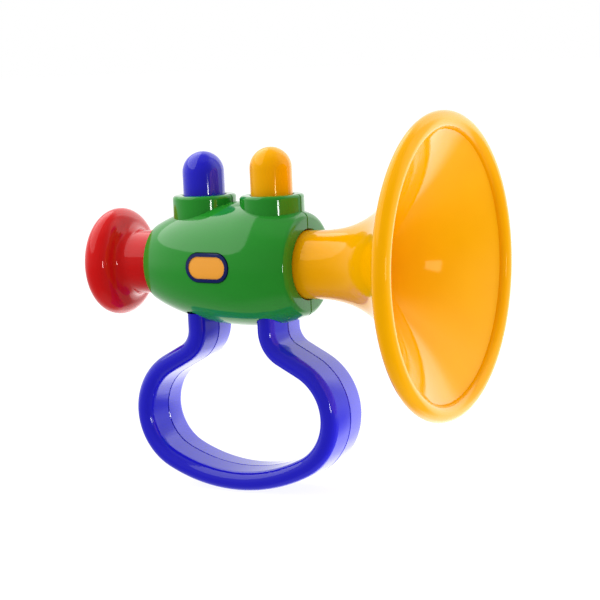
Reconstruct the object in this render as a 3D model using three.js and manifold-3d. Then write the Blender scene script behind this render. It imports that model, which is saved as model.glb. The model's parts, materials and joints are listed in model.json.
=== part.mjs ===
// Toy trumpet with a strap handle, two squeaker buttons, a turning bell and a turning mouthpiece.
// Millimetres, +Z up. X runs from the mouthpiece to the bell, and the toy is split along the plane y = 0.
// While the parts are drawn, x = 0 lies midway between the two buttons and z = 0 is the trumpet's axis.
import * as THREE from 'three';
import { mergeVertices } from 'three/addons/utils/BufferGeometryUtils.js';
import Module from 'manifold-3d';

const wasm = await Module();
wasm.setup();
const { Manifold, Mesh } = wasm;

// Clearances shared by the whole toy
const fitGap = 0.3; // between parts that lie against each other
const turnGap = 0.4; // around parts that turn or slide
const overrun = 2; // how far a cutter runs past the surface it cuts
const weldDistance = 1e-4; // corners closer than this are one corner
const toolReach = 200; // size of the blocks that split a part in halves

// Body: two shells, fullest a little nearer the bell
const bodySwell = 3.06; // the fullest radius is this much over the radius at the bell's click ring
const widestPlace = 5.6;
const bodyEndRound = 2.2;
const shellWall = 2.2;
const endWall = 2.4;
const frontRoom = 0.45; // between a button's guide and the end wall nearest to it, at the bell
const rearRoom = 5.75; // and at the mouthpiece

// Collars around the buttons
const collarGap = 4.8; // between the two collars
const collarWall = 2.15;
const collarEdgeRound = 1.3;
const collarCap = 2;
const guideWall = 1.6;
const stopLedge = 0.9; // thickness of the ledge that stops a button

// Buttons
const buttonRadius = 7.55;
const buttonWall = 1.8;
const buttonLip = 1.4; // width of the flange that keeps a button in its collar
const buttonLipHeight = 1.6;
const blueButtonStand = 15.5; // rise above the collar
const yellowButtonStand = 16.8;
const buttonStroke = 5;

// Squeakers: a bellows under each button, with a reed plug in its foot
const shelfDrop = 2.5; // from the trumpet's axis down to the top of the shelf
const shelfThickness = 2;
const bellowsInset = 0.95; // how much smaller than its button a bellows is, in radius
const bellowsFoldDepth = 2;
const bellowsFolds = 5;
const bellowsWall = 0.8;
const bellowsNeckRadius = 3;
const bellowsNeckBelow = 0.9; // how far the bellows' neck shows under the shelf
const reedHoleRadius = 0.7;
const reedHeadHeight = 0.9;
const reedRise = 2.4; // how far the reed plug stands in the bellows' neck

// Bell
const bellReach = 80.2; // from x = 0 to the plane of the lip
const bellRadius = 53;
const bellLipRadius = 3.2; // radius of the rounded lip
const bellLipLand = 1.2; // width of the flat ring on the front of the lip
const bellNeckRadius = 12.1;
const bellNeckShow = 0.9; // straight neck outside the body before the flare starts
const flareEdgeBack = 1.5; // where the flare would reach the edge radius, behind the lip's plane
const flareEdgeDrop = 3; // that edge radius is this much under the bell's
const flarePower = 2.73;
const bellWall = 2.7;
const soundHoleRadius = 1.4; // holes in the disc that closes the bell's throat
const soundHoleCircle = 5.4;
const soundHoles = 6; // around the one in the middle

// Mouthpiece
const mouthReach = 51.3; // from x = 0 to the plane of its lip
const mouthRadius = 19.6;
const mouthLipRadius = 5.45;
const mouthNeckRadius = 11.5;
const mouthNeckFillet = 4;
const mouthSpigotRadius = 8.6;
const mouthSpigotWall = 2;
const mouthCupDepth = 9;
const mouthThroat = 1.6;
const mouthThroatLength = 2;

// Click rings and their leaf springs, at the bell and at the mouthpiece
const ringThickness = 2.2;
const toothHeight = 0.8;
const bellRingRise = 2.1; // over the bell's neck
const bellRingTeeth = 16;
const mouthRingRise = 1.8; // over the mouthpiece's spigot
const mouthRingTeeth = 12;
const ribThickness = 1.3;
const bellRibReach = 1.5; // how far a rib reaches in behind the end of the neck
const mouthRibReach = 0.6;
const leafThickness = 0.8;
const leafWidth = 1.6;
const leafTipGap = 0.15; // between a leaf's bump and the tips of the teeth
const leafEndGap = 0.4; // between the ends of a leaf and the shell
const bellLeafRoom = 1.24; // between the middle of a leaf and the shell
const mouthLeafRoom = 1.7;
const leafBumpHalf = 1.1;
const leafPocket = 1.6; // how much of each leaf end lies in its pocket
const pocketLip = 0.6;
const pocketEnd = 0.5;

// Handle: one strap bent into a loop, split in two halves
const legOffset = 0.4; // how far outside the middle of its button each leg stands
const strapThickness = 7.6;
const strapWidth = 23.5;
const strapEdgeRound = 3.3;
const legShow = 0.65; // straight leg below the fullest part of the body
const shoulderRadius = 10.3;
const shoulderTurn = THREE.MathUtils.degToRad(61.7);
const shoulderRun = 8.7;
const sideRadius = 19.8;
const sideTurnEnd = THREE.MathUtils.degToRad(63.2);
const strapWall = 2.2;
const strapTopRise = 2.9; // how far a leg reaches above the inside of the body's floor
const lugDrop = 6.9; // height of the lug's pin above the inside of the body's floor
const lugRadius = 5.2;
const lugHalfWidth = 5.5;
const pinRadius = 2.8;

// Screws
const screwShankRadius = 1.1;
const screwHeadRadius = 2.4;
const screwHeadHeight = 1.7;
const screwHeadEdge = 0.5;
const screwTip = 1.5;
const screwBelow = 7; // how far a screw reaches past the split
const crossLength = 2.8;
const crossWidth = 0.7;
const crossDepth = 0.9;
const bodySeat = 9; // head seats, from the split
const strapSeat = 7.2;
const bossRadius = 2.9;
const seatThickness = 2.2;
const counterboreWall = 1.3;
const upperBossInset = 6.6; // from the inside of the body's roof down to the upper boss
const rearBossRoom = 0.5; // between the rear boss and the rib beside it
const rearBossDrop = 7.5;
const strapBossRadius = 3.4;
const sideScrewShare = 0.3; // how far round the strap's side bend its screws sit
const footScrewShare = 0.35; // and how far round its foot

// Badge plate
const badgeLength = 17.6;
const badgeHeight = 10.2;
const badgeBack = 1.2; // its centre, towards the mouthpiece
const badgeRise = 0.9; // and above the trumpet's axis
const badgeProud = 0.4;
const badgeDepth = 0.8; // depth of its recess

// Facets
const bodySteps = 28;
const bodyPoints = 7;
const collarSteps = 20;
const holeSteps = 14;
const bellSteps = 40;
const flarePoints = 10;
const lipPoints = 6;
const mouthSteps = 28;
const buttonSteps = 20;
const bellowsSteps = 12;
const screwSteps = 8;
const arcPoints = 3;
const strapEdgeSteps = 3;
const strapArcStep = THREE.MathUtils.degToRad(16);

// Radii that follow from the sizes above
const bellRingRadius = bellNeckRadius + bellRingRise;
const mouthRingRadius = mouthSpigotRadius + mouthRingRise;
const boreRadius = buttonRadius + buttonLip + turnGap;
const collarRadius = boreRadius + collarWall;
const bellowsRadius = buttonRadius - bellowsInset;

// Places along X: the buttons, the body's ends, and the click rings and ribs inside them
const buttonHalf = collarRadius + collarGap / 2;
const legHalf = buttonHalf + legOffset;
const guideReach = buttonHalf + boreRadius + guideWall;
const bellWallFace = guideReach + frontRoom;
const mouthWallFace = -guideReach - rearRoom;
const bodyFrontEnd = bellWallFace + endWall;
const bodyRearEnd = endWall - mouthWallFace;
const bellRingFront = bellWallFace - turnGap;
const bellRingBack = bellRingFront - ringThickness;
const bellRingMiddle = (bellRingFront + bellRingBack) / 2;
const bellRibFront = bellRingBack - turnGap;
const mouthRingFront = mouthWallFace + turnGap;
const mouthRingBack = mouthRingFront + ringThickness;
const mouthRingMiddle = (mouthRingFront + mouthRingBack) / 2;
const mouthRibFront = mouthRingBack + turnGap;
const mouthRibBack = mouthRibFront + ribThickness;
const bellFlareStart = bodyFrontEnd + bellNeckShow;
const flareEdge = bellReach - flareEdgeBack;

// The body's radius follows from what lies between it and the click rings
const bellEndRoom = leafFace(bellRingRadius) + leafThickness + bellLeafRoom;
const mouthEndRoom = leafFace(mouthRingRadius) + leafThickness + mouthLeafRoom;
const bodyWidest = bellEndRoom + shellWall + bodySwell;
const frontStretch = stretchThrough(bellRingMiddle - widestPlace, bellEndRoom + shellWall);
const rearStretch = stretchThrough(widestPlace - mouthRingMiddle, mouthEndRoom + shellWall);
const bellLeafHalf = leafHalfIn(bellEndRoom, bellRingRadius);
const mouthLeafHalf = leafHalfIn(mouthEndRoom, mouthRingRadius);

// Heights
const guideBottom = bellRingRadius + turnGap;
const stopHeight = guideBottom + stopLedge;
const lipBottom = stopHeight + fitGap + buttonStroke;
const lipTop = lipBottom + buttonLipHeight;
const collarTop = lipTop + fitGap + collarCap;
const cavityFloor = bodyWidest - shellWall;
const shelfTop = -shelfDrop;
const lugHeight = lugDrop - cavityFloor;
const strapTop = strapTopRise - cavityFloor;
const strapHalf = strapWidth / 2;

// Half length of the ellipse that has the body's fullest radius in its middle, and the given
// radius at the given distance from there.
function stretchThrough(distance, radius) {
  return distance / Math.sqrt(1 - (radius / bodyWidest) ** 2);
}

// Distance from the axis to the inner face of the leaf spring over a click ring.
function leafFace(ringRadius) {
  return ringRadius + toothHeight;
}

// Half length of a leaf spring whose outer corners keep their gap to the shell.
function leafHalfIn(room, ringRadius) {
  return Math.sqrt((room - leafEndGap) ** 2 - (leafFace(ringRadius) + leafThickness) ** 2);
}

// Turns a three.js shape into a solid: corners merged, slivers dropped, faces pointing out.
function solid(geometry) {
  const bare = geometry.clone();
  bare.deleteAttribute('normal');
  bare.deleteAttribute('uv');
  const merged = mergeVertices(bare, weldDistance);
  const places = merged.getAttribute('position');
  const corners = merged.index.array;
  const faces = [];
  let volume = 0;
  const [a, b, c] = [new THREE.Vector3(), new THREE.Vector3(), new THREE.Vector3()];
  for (let i = 0; i < corners.length; i += 3) {
    const [p, q, r] = [corners[i], corners[i + 1], corners[i + 2]];
    if (p === q || q === r || r === p) continue;
    faces.push([p, q, r]);
    a.fromBufferAttribute(places, p);
    b.fromBufferAttribute(places, q);
    c.fromBufferAttribute(places, r);
    volume += a.dot(b.cross(c));
  }
  const triVerts = new Uint32Array((volume < 0 ? faces.map(([p, q, r]) => [p, r, q]) : faces).flat());
  const vertProperties = new Float32Array(places.array);
  return new Manifold(new Mesh({ numProp: 3, vertProperties, triVerts }));
}

// Joins a list of solids into one.
function joined(solids) {
  return solids.reduce((whole, next) => whole.add(next));
}

// Cuts a list of solids out of one.
function cut(whole, cutters) {
  return cutters.reduce((rest, next) => rest.subtract(next), whole);
}

// A profile of [place along X, radius] pairs turned about the X axis.
function turnedAboutX(profile, steps) {
  const points = profile.map(([along, radius]) => new THREE.Vector2(radius, along));
  return new THREE.LatheGeometry(points, steps).rotateZ(-Math.PI / 2);
}

// A profile of [radius, height] pairs turned about a vertical line at the given place along X.
function turnedUpright(profile, steps, along) {
  const points = profile.map(([radius, height]) => new THREE.Vector2(radius, height));
  return new THREE.LatheGeometry(points, steps).rotateX(Math.PI / 2).translate(along, 0, 0);
}

// An outline drawn in X and Z, drawn out along Y from yLow to yHigh.
function drawnOut(shape, yLow, yHigh, curveSegments) {
  const settings = { depth: yHigh - yLow, bevelEnabled: false, curveSegments };
  return new THREE.ExtrudeGeometry(shape, settings).rotateX(Math.PI / 2).translate(0, yHigh, 0);
}

// A rod along Y.
function rodAlongY(radius, yLow, yHigh, along, height, steps) {
  const rod = new THREE.CylinderGeometry(radius, radius, yHigh - yLow, steps);
  return solid(rod.translate(along, (yLow + yHigh) / 2, height));
}

// A rod along X.
function rodAlongX(radius, xLow, xHigh, steps) {
  const rod = new THREE.CylinderGeometry(radius, radius, xHigh - xLow, steps).rotateZ(Math.PI / 2);
  return solid(rod.translate((xLow + xHigh) / 2, 0, 0));
}

// An upright rod.
function rodUpright(radius, low, high, along, steps) {
  const rod = new THREE.CylinderGeometry(radius, radius, high - low, steps).rotateX(Math.PI / 2);
  return solid(rod.translate(along, 0, (low + high) / 2));
}

// A block between two corners.
function block(low, high) {
  const size = high.map((value, i) => value - low[i]);
  const middle = high.map((value, i) => (value + low[i]) / 2);
  return solid(new THREE.BoxGeometry(...size).translate(...middle));
}

// Points of an arc in a profile plane, from one angle to another.
function arc(centreX, centreY, radius, from, to, points) {
  return Array.from({ length: points + 1 }, (_, i) => {
    const angle = from + ((to - from) * i) / points;
    return [centreX + radius * Math.cos(angle), centreY + radius * Math.sin(angle)];
  });
}

// The half of a solid on the side of the split that y points to: -1 is the front, +1 the rear.
function halfOf(whole, side) {
  const near = (side * fitGap) / 2;
  const far = side * toolReach;
  return whole.intersect(block(
    [-toolReach, Math.min(near, far), -toolReach],
    [toolReach, Math.max(near, far), toolReach],
  ));
}

// Radius of the body's surface at a place along X, before its ends are rounded.
function bodyRadius(along) {
  const stretch = along < widestPlace ? rearStretch : frontStretch;
  return bodyWidest * Math.sqrt(1 - ((along - widestPlace) / stretch) ** 2);
}

// Slope of that surface.
function bodySlope(along) {
  const stretch = along < widestPlace ? rearStretch : frontStretch;
  return (bodyWidest ** 2 * (widestPlace - along)) / (stretch ** 2 * bodyRadius(along));
}

// The body's outline as [along, radius] pairs, moved out by a distance.
function bodyProfile(outward) {
  const [rear, front] = [-bodyRearEnd, bodyFrontEnd];
  const rearTilt = Math.atan(bodySlope(rear));
  const frontTilt = Math.atan(-bodySlope(front));
  const roundCentre = (end, tilt) => bodyRadius(end)
    + bodyEndRound * (Math.tan(tilt) - 1 / Math.cos(tilt)) + outward;
  const rearRound = arc(rear + bodyEndRound, roundCentre(rear, rearTilt), bodyEndRound,
    Math.PI, Math.PI / 2 + rearTilt, arcPoints);
  const frontRound = arc(front - bodyEndRound, roundCentre(front, frontTilt), bodyEndRound,
    Math.PI / 2 - frontTilt, 0, arcPoints);
  const start = rearRound[arcPoints][0];
  const span = frontRound[0][0] - start;
  const middle = Array.from({ length: bodyPoints }, (_, i) => {
    const along = start + (span * (i + 1)) / (bodyPoints + 1);
    return [along, bodyRadius(along) + outward];
  });
  return [[rear, 0], ...rearRound, ...middle, ...frontRound, [front, 0]];
}

// The room inside the body.
function bodyCavity() {
  const rear = endWall - bodyRearEnd;
  const front = bodyFrontEnd - endWall;
  const wall = Array.from({ length: bodyPoints + 1 }, (_, i) => {
    const along = rear + ((front - rear) * i) / bodyPoints;
    return [along, bodyRadius(along) - shellWall];
  });
  return solid(turnedAboutX([[rear, 0], ...wall, [front, 0]], bodySteps));
}

// The outside of the body, moved out by a distance.
function bodyForm(outward) {
  return solid(turnedAboutX(bodyProfile(outward), bodySteps));
}

// One collar, solid.
function collar(along) {
  const round = arc(collarRadius - collarEdgeRound, collarTop - collarEdgeRound, collarEdgeRound,
    0, Math.PI / 2, arcPoints);
  return solid(turnedUpright([[0, 0], [collarRadius, 0], ...round, [0, collarTop]], collarSteps, along));
}

// The rib that a turning ring bears on inside the shells, from xLow to xHigh.
function ringRib(xLow, xHigh, hole) {
  const wall = rodAlongX(bodyWidest, xLow, xHigh, bodySteps);
  return wall.subtract(rodAlongX(hole, xLow - overrun, xHigh + overrun, bodySteps));
}

// Places of the three body screws: along X, and height.
const bodyScrewPlaces = [
  [0, cavityFloor - upperBossInset],
  [0, lugHeight],
  [mouthRibBack + bossRadius + rearBossRoom, -rearBossDrop],
];

// One pocket that holds the end of a leaf spring, drawn on the rear (+Y) side of a click ring.
function leafPocketBlock(ringMiddle, ringRadius, leafHalf, side) {
  const face = leafFace(ringRadius);
  const inner = side * (leafHalf - leafPocket);
  const outer = side * (leafHalf + fitGap + pocketEnd);
  const half = leafWidth / 2 + fitGap;
  const low = [ringMiddle - half, face - fitGap - pocketLip, Math.min(inner, outer)];
  const high = [ringMiddle + half, bodyWidest, Math.max(inner, outer)];
  const slotEnd = side * (leafHalf + fitGap);
  const slot = block(
    [ringMiddle - half - overrun, face - fitGap, Math.min(inner - side * overrun, slotEnd)],
    [ringMiddle + half + overrun, face + leafThickness + fitGap, Math.max(inner - side * overrun, slotEnd)],
  );
  return block(low, high).subtract(slot);
}

// Everything that stands inside the shells: ribs, shelf, button guides, bosses, pins and pockets.
function shellFittings() {
  const ribs = [
    ringRib(bellRibFront - ribThickness, bellRibFront, bellNeckRadius - bellRibReach),
    ringRib(mouthRibFront, mouthRibBack, mouthSpigotRadius - mouthRibReach),
  ];
  const shelf = block(
    [mouthRibFront, -bodyWidest, shelfTop - shelfThickness],
    [bellRibFront, bodyWidest, shelfTop],
  );
  const guides = [-buttonHalf, buttonHalf].map((along) => rodUpright(boreRadius + guideWall,
    guideBottom, collarTop - collarCap / 2, along, collarSteps));
  const bosses = bodyScrewPlaces.flatMap(([along, height]) => [
    rodAlongY(bossRadius, -bodyWidest, bodySeat, along, height, holeSteps),
    rodAlongY(screwHeadRadius + turnGap + counterboreWall, bodySeat - seatThickness, bodyWidest,
      along, height, holeSteps),
  ]);
  const pins = [-legHalf, legHalf].map((along) => rodAlongY(pinRadius, -bodyWidest, bodyWidest,
    along, lugHeight, holeSteps));
  const pockets = [-1, 1].flatMap((side) => [
    leafPocketBlock(bellRingMiddle, bellRingRadius, bellLeafHalf, side),
    leafPocketBlock(mouthRingMiddle, mouthRingRadius, mouthLeafHalf, side),
  ]);
  return { ribs, shelf, guides, bosses, pins, pockets };
}

// Cutters for a button: the hole in the collar's cap, the bore that its flange slides in down to
// the ledge that stops it, and the way through that ledge for the bellows.
function buttonCutters(along) {
  return [
    rodUpright(buttonRadius + turnGap, stopHeight, collarTop + overrun, along, collarSteps),
    rodUpright(boreRadius, stopHeight, collarTop - collarCap, along, collarSteps),
    rodUpright(bellowsRadius + turnGap, guideBottom - overrun, stopHeight + overrun, along, collarSteps),
  ];
}

// Cutters for a body screw: the hole for its shank and the counterbore for its head.
function bodyScrewCutters([along, height]) {
  return [
    rodAlongY(screwShankRadius + fitGap, -screwBelow - fitGap, bodySeat + overrun, along, height, holeSteps),
    rodAlongY(screwHeadRadius + turnGap, bodySeat, toolReach, along, height, holeSteps),
  ];
}

// A flat outline with round ends, centred on the badge.
function stadium(length, height) {
  const run = (length - height) / 2;
  const shape = new THREE.Shape();
  shape.absarc(run, 0, height / 2, -Math.PI / 2, Math.PI / 2);
  shape.absarc(-run, 0, height / 2, Math.PI / 2, (3 * Math.PI) / 2);
  return shape;
}

// A prism of that outline that runs from the split out through the front of the body.
function badgePrism(growth) {
  const outline = stadium(badgeLength + 2 * growth, badgeHeight + 2 * growth);
  return solid(drawnOut(outline, -toolReach, -bodyWidest / 2, holeSteps / 2)
    .translate(-badgeBack, 0, badgeRise));
}

// The section of a strap that is wider by a distance all round, as an upright prism for the leg slots.
function legSlot(along) {
  const half = strapThickness / 2 + fitGap;
  const reach = strapHalf + fitGap;
  const round = Math.min(strapEdgeRound + fitGap, half);
  const shape = new THREE.Shape();
  shape.absarc(half - round, reach - round, round, 0, Math.PI / 2);
  shape.absarc(round - half, reach - round, round, Math.PI / 2, Math.PI);
  shape.absarc(round - half, round - reach, round, Math.PI, (3 * Math.PI) / 2);
  shape.absarc(half - round, round - reach, round, (3 * Math.PI) / 2, 2 * Math.PI);
  const height = bodyWidest + overrun + strapTop;
  const settings = { depth: height, bevelEnabled: false, curveSegments: arcPoints };
  return solid(new THREE.ExtrudeGeometry(shape, settings).translate(along, 0, strapTop - height + overrun));
}

// The whole body with everything inside it, before it is split in two shells.
function wholeBody() {
  const collars = [collar(-buttonHalf), collar(buttonHalf)];
  const outside = joined([bodyForm(0), ...collars]);
  const cavity = bodyCavity();
  const { ribs, shelf, guides, bosses, pins, pockets } = shellFittings();
  const inside = joined([...ribs, shelf, ...guides, ...bosses, ...pockets]).intersect(outside);
  const slots = [legSlot(-legHalf), legSlot(legHalf)];
  const recess = badgePrism(fitGap).subtract(bodyForm(-badgeDepth));
  const reedHoles = [-buttonHalf, buttonHalf].map((along) => rodUpright(bellowsNeckRadius + fitGap,
    shelfTop - shelfThickness - overrun, shelfTop + overrun, along, holeSteps));
  const necks = [
    rodAlongX(bellNeckRadius + turnGap, bellWallFace - turnGap, bodyFrontEnd + overrun, bodySteps),
    rodAlongX(mouthSpigotRadius + turnGap, -bodyRearEnd - overrun, mouthWallFace + turnGap, bodySteps),
  ];
  const shells = cut(outside.subtract(cavity).add(inside), [
    ...slots, ...reedHoles, ...necks, recess,
    ...buttonCutters(-buttonHalf), ...buttonCutters(buttonHalf),
    ...bodyScrewPlaces.flatMap(bodyScrewCutters),
  ]);
  return shells.add(joined(pins).intersect(bodyForm(-shellWall / 2)));
}

// Radius of the bell's outer surface at a place along X.
function flareRadius(along) {
  const share = Math.max(along - bellFlareStart, 0) / (flareEdge - bellFlareStart);
  return bellNeckRadius + (bellRadius - flareEdgeDrop - bellNeckRadius) * share ** flarePower;
}

// Points of the flare as [along, radius] pairs, moved inwards by a distance along its normal,
// kept as far as they lie clear of the round lip.
function flareSurface(inward) {
  const lip = [bellReach, bellRadius - bellLipRadius];
  const step = (flareEdge + bellLipRadius - bellFlareStart) / flarePoints;
  const points = Array.from({ length: flarePoints + 1 }, (_, i) => {
    const along = bellFlareStart + step * i;
    const rise = (flareRadius(along + step / 2) - flareRadius(along - step / 2)) / step;
    const length = Math.hypot(1, rise);
    return [along + (inward * rise) / length, flareRadius(along) - inward / length];
  });
  return points.filter(([along, radius]) => radius < lip[1]
    && Math.hypot(along - lip[0], radius - lip[1]) > bellLipRadius);
}

// A flat disc across the X axis with pointed teeth around its rim and round holes in it, from xLow
// to xHigh. Each hole is [across, up, radius], and one valley faces the front.
function toothedDisc(radius, teeth, holes, xLow, xHigh) {
  const shape = new THREE.Shape(Array.from({ length: 2 * teeth }, (_, i) => {
    const angle = (Math.PI * i) / teeth;
    const reach = i % 2 ? radius : radius - toothHeight;
    return new THREE.Vector2(reach * Math.sin(angle), reach * Math.cos(angle));
  }));
  shape.holes = holes.map(([across, up, bore]) => {
    const corners = Array.from({ length: screwSteps }, (_, i) => {
      const angle = (2 * Math.PI * i) / screwSteps;
      return new THREE.Vector2(across + bore * Math.cos(angle), up + bore * Math.sin(angle));
    });
    return new THREE.Path(corners);
  });
  const disc = new THREE.ExtrudeGeometry(shape, { depth: xHigh - xLow, bevelEnabled: false });
  return solid(disc.rotateZ(-Math.PI / 2).rotateY(Math.PI / 2).rotateX(-Math.PI / 2).translate(xLow, 0, 0));
}

// The bell: a throat disc with click teeth and sound holes, neck, flare and a rounded lip with a
// flat ring on its front.
function bell() {
  const lipCentre = bellRadius - bellLipRadius;
  const outer = flareSurface(0);
  const inner = flareSurface(bellWall).reverse();
  const [backAlong, backRadius] = outer[outer.length - 1];
  const [faceAlong, faceRadius] = inner[0];
  const landHalf = Math.asin(bellLipLand / 2 / bellLipRadius);
  const backAngle = Math.atan2(backRadius - lipCentre, backAlong - bellReach) + 2 * Math.PI;
  const faceAngle = Math.atan2(faceRadius - lipCentre, faceAlong - bellReach);
  const lipBack = arc(bellReach, lipCentre, bellLipRadius, Math.min(backAngle, (3 * Math.PI) / 2),
    landHalf, lipPoints);
  const lipFace = arc(bellReach, lipCentre, bellLipRadius, -landHalf,
    Math.max(faceAngle, -Math.PI / 2), arcPoints);
  const start = bellRingBack;
  const profile = [
    [start, bellNeckRadius], [bellFlareStart - bellNeckShow / 2, bellNeckRadius],
    ...outer, ...lipBack, ...lipFace, ...inner,
    [start, bellNeckRadius - bellWall], [start, bellNeckRadius],
  ];
  const holes = Array.from({ length: soundHoles }, (_, i) => {
    const angle = (2 * Math.PI * i) / soundHoles;
    return [soundHoleCircle * Math.cos(angle), soundHoleCircle * Math.sin(angle), soundHoleRadius];
  });
  const disc = toothedDisc(bellRingRadius, bellRingTeeth, [[0, 0, soundHoleRadius], ...holes],
    bellRingBack, bellRingFront);
  return solid(turnedAboutX(profile, bellSteps)).add(disc);
}

// The mouthpiece: spigot with its click teeth, neck, fat rounded lip and a cup with a throat.
function mouthpiece() {
  const lipCentre = mouthRadius - mouthLipRadius;
  const filletRise = mouthNeckRadius + mouthNeckFillet - lipCentre;
  const filletRun = Math.sqrt((mouthLipRadius + mouthNeckFillet) ** 2 - filletRise ** 2);
  const meet = Math.atan2(filletRise, filletRun);
  const filletX = filletRun - mouthReach;
  const fillet = arc(filletX, mouthNeckRadius + mouthNeckFillet, mouthNeckFillet,
    (3 * Math.PI) / 2, Math.PI + meet, arcPoints);
  const lip = arc(-mouthReach, lipCentre, mouthLipRadius, meet, (3 * Math.PI) / 2, 2 * lipPoints);
  const cupRadius = lipCentre - mouthLipRadius;
  const cup = Array.from({ length: arcPoints + 1 }, (_, i) => {
    const angle = (Math.PI * (i + 1)) / (2 * (arcPoints + 1));
    return [mouthCupDepth * Math.sin(angle) - mouthReach,
      mouthThroat + (cupRadius - mouthThroat) * Math.cos(angle)];
  });
  const throatEnd = mouthCupDepth + mouthThroatLength - mouthReach;
  const bore = mouthSpigotRadius - mouthSpigotWall;
  const shoulder = -bodyRearEnd - turnGap;
  const profile = [
    [mouthRingBack, mouthSpigotRadius], [shoulder, mouthSpigotRadius], [shoulder, mouthNeckRadius],
    ...fillet, ...lip.slice(1), ...cup,
    [throatEnd, mouthThroat], [throatEnd + mouthThroatLength, bore],
    [mouthRingBack, bore], [mouthRingBack, mouthSpigotRadius],
  ];
  const ring = toothedDisc(mouthRingRadius, mouthRingTeeth, [[0, 0, bore + mouthSpigotWall / 2]],
    mouthRingFront, mouthRingBack);
  return solid(turnedAboutX(profile, mouthSteps)).add(ring);
}

// A leaf spring with a bump that faces a valley of the click ring.
function leafSpring(ringMiddle, ringRadius, leafHalf) {
  const face = leafFace(ringRadius);
  const tip = ringRadius + leafTipGap;
  const shape = new THREE.Shape([
    [-leafHalf, face], [-leafBumpHalf, face], [0, tip], [leafBumpHalf, face],
    [leafHalf, face], [leafHalf, face + leafThickness], [-leafHalf, face + leafThickness],
  ].map(([across, out]) => new THREE.Vector2(across, out)));
  const strip = new THREE.ExtrudeGeometry(shape, { depth: leafWidth, bevelEnabled: false });
  return solid(strip.rotateY(Math.PI / 2).translate(ringMiddle - leafWidth / 2, 0, 0));
}

// A hollow dome button with the flange that keeps it in its collar.
function button(along, stand) {
  const dome = collarTop + stand - buttonRadius;
  const hollow = buttonRadius - buttonWall;
  const lip = buttonRadius + buttonLip;
  const outside = arc(0, dome, buttonRadius, Math.PI / 2, 0, 2 * arcPoints);
  const inside = arc(0, dome, hollow, 0, Math.PI / 2, 2 * arcPoints);
  return solid(turnedUpright([
    ...outside, [buttonRadius, lipTop], [lip, lipTop], [lip, lipBottom], [hollow, lipBottom], ...inside,
  ], buttonSteps, along));
}

// Height of the bellows' foot, and of its top against the button's flange.
const bellowsFoot = shelfTop + fitGap;
const bellowsTop = lipBottom - fitGap;
const neckEnd = shelfTop - shelfThickness - bellowsNeckBelow;

// The folded wall of the bellows as [radius, height] pairs from top to foot, moved in by a distance.
function bellowsFoldPoints(inward) {
  const high = bellowsTop - inward;
  const low = bellowsFoot + inward;
  const pitch = (high - low) / (2 * bellowsFolds);
  return Array.from({ length: 2 * bellowsFolds + 1 }, (_, i) => [
    bellowsRadius - inward - (i % 2 ? bellowsFoldDepth : 0), high - pitch * i,
  ]);
}

// A soft bellows, closed on top, with an open neck in its foot.
function bellows(along) {
  const neck = bellowsNeckRadius - bellowsWall;
  return solid(turnedUpright([
    [0, bellowsTop], ...bellowsFoldPoints(0), [bellowsNeckRadius, bellowsFoot], [bellowsNeckRadius, neckEnd],
    [neck, neckEnd], [neck, bellowsFoot + bellowsWall], ...bellowsFoldPoints(bellowsWall).reverse(),
    [0, bellowsTop - bellowsWall],
  ], bellowsSteps, along));
}

// The reed plug in the bellows' neck, with its sound hole.
function reedPlug(along) {
  const stem = bellowsNeckRadius - bellowsWall - fitGap;
  const headTop = neckEnd - fitGap;
  return solid(turnedUpright([
    [reedHoleRadius, headTop + reedRise], [stem, headTop + reedRise], [stem, headTop],
    [bellowsNeckRadius, headTop], [bellowsNeckRadius, headTop - reedHeadHeight],
    [reedHoleRadius, headTop - reedHeadHeight], [reedHoleRadius, headTop + reedRise],
  ], bellowsSteps, along));
}

// A screw along Y with a cross recess, its head seated at the given depth behind the split.
function screw(along, height, seat) {
  const head = seat + screwHeadHeight;
  const profile = [
    [0, -screwBelow], [screwShankRadius, screwTip - screwBelow], [screwShankRadius, seat + fitGap],
    [screwHeadRadius, seat + fitGap], [screwHeadRadius, head - screwHeadEdge],
    [screwHeadRadius - screwHeadEdge, head], [0, head],
  ].map(([radius, depth]) => new THREE.Vector2(radius, depth));
  const recess = [[crossLength, crossWidth], [crossWidth, crossLength]].map(([wide, tall]) => block(
    [-wide / 2, head - crossDepth, -tall / 2],
    [wide / 2, head + overrun, tall / 2],
  ));
  return cut(solid(new THREE.LatheGeometry(profile, screwSteps)), recess).translate([along, 0, height]);
}

// The bends of the strap's middle line from the right leg down to the middle of the foot. An angle
// of 0 runs straight down, and a positive one leans away from the middle.
function strapRuns() {
  const legEnd = -bodyWidest - legShow;
  const arcRun = (start, from, to, radius) => {
    const turn = Math.sign(to - from);
    const centre = [start[0] + turn * radius * Math.cos(from), start[1] + turn * radius * Math.sin(from)];
    const end = [centre[0] - turn * radius * Math.cos(to), centre[1] - turn * radius * Math.sin(to)];
    return { centre, turn, radius, from, to, end };
  };
  const shoulder = arcRun([legHalf, legEnd], 0, shoulderTurn, shoulderRadius);
  const runEnd = [
    shoulder.end[0] + shoulderRun * Math.sin(shoulderTurn),
    shoulder.end[1] - shoulderRun * Math.cos(shoulderTurn),
  ];
  const side = arcRun(runEnd, shoulderTurn, -sideTurnEnd, sideRadius);
  const foot = arcRun(side.end, -sideTurnEnd, -Math.PI / 2, side.end[0] / Math.cos(sideTurnEnd));
  return [shoulder, side, foot];
}

// One edge of the right half of the strap, moved outwards by a distance, from top to bottom.
function strapEdge(top, outward) {
  const points = [[legHalf + outward, top]];
  for (const { centre, turn, radius, from, to } of strapRuns()) {
    const steps = Math.ceil(Math.abs(to - from) / strapArcStep);
    for (let i = 0; i <= steps; i += 1) {
      const angle = from + ((to - from) * i) / steps;
      const reach = turn * radius - outward;
      points.push([centre[0] - reach * Math.cos(angle), centre[1] - reach * Math.sin(angle)]);
    }
  }
  return points;
}

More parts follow.
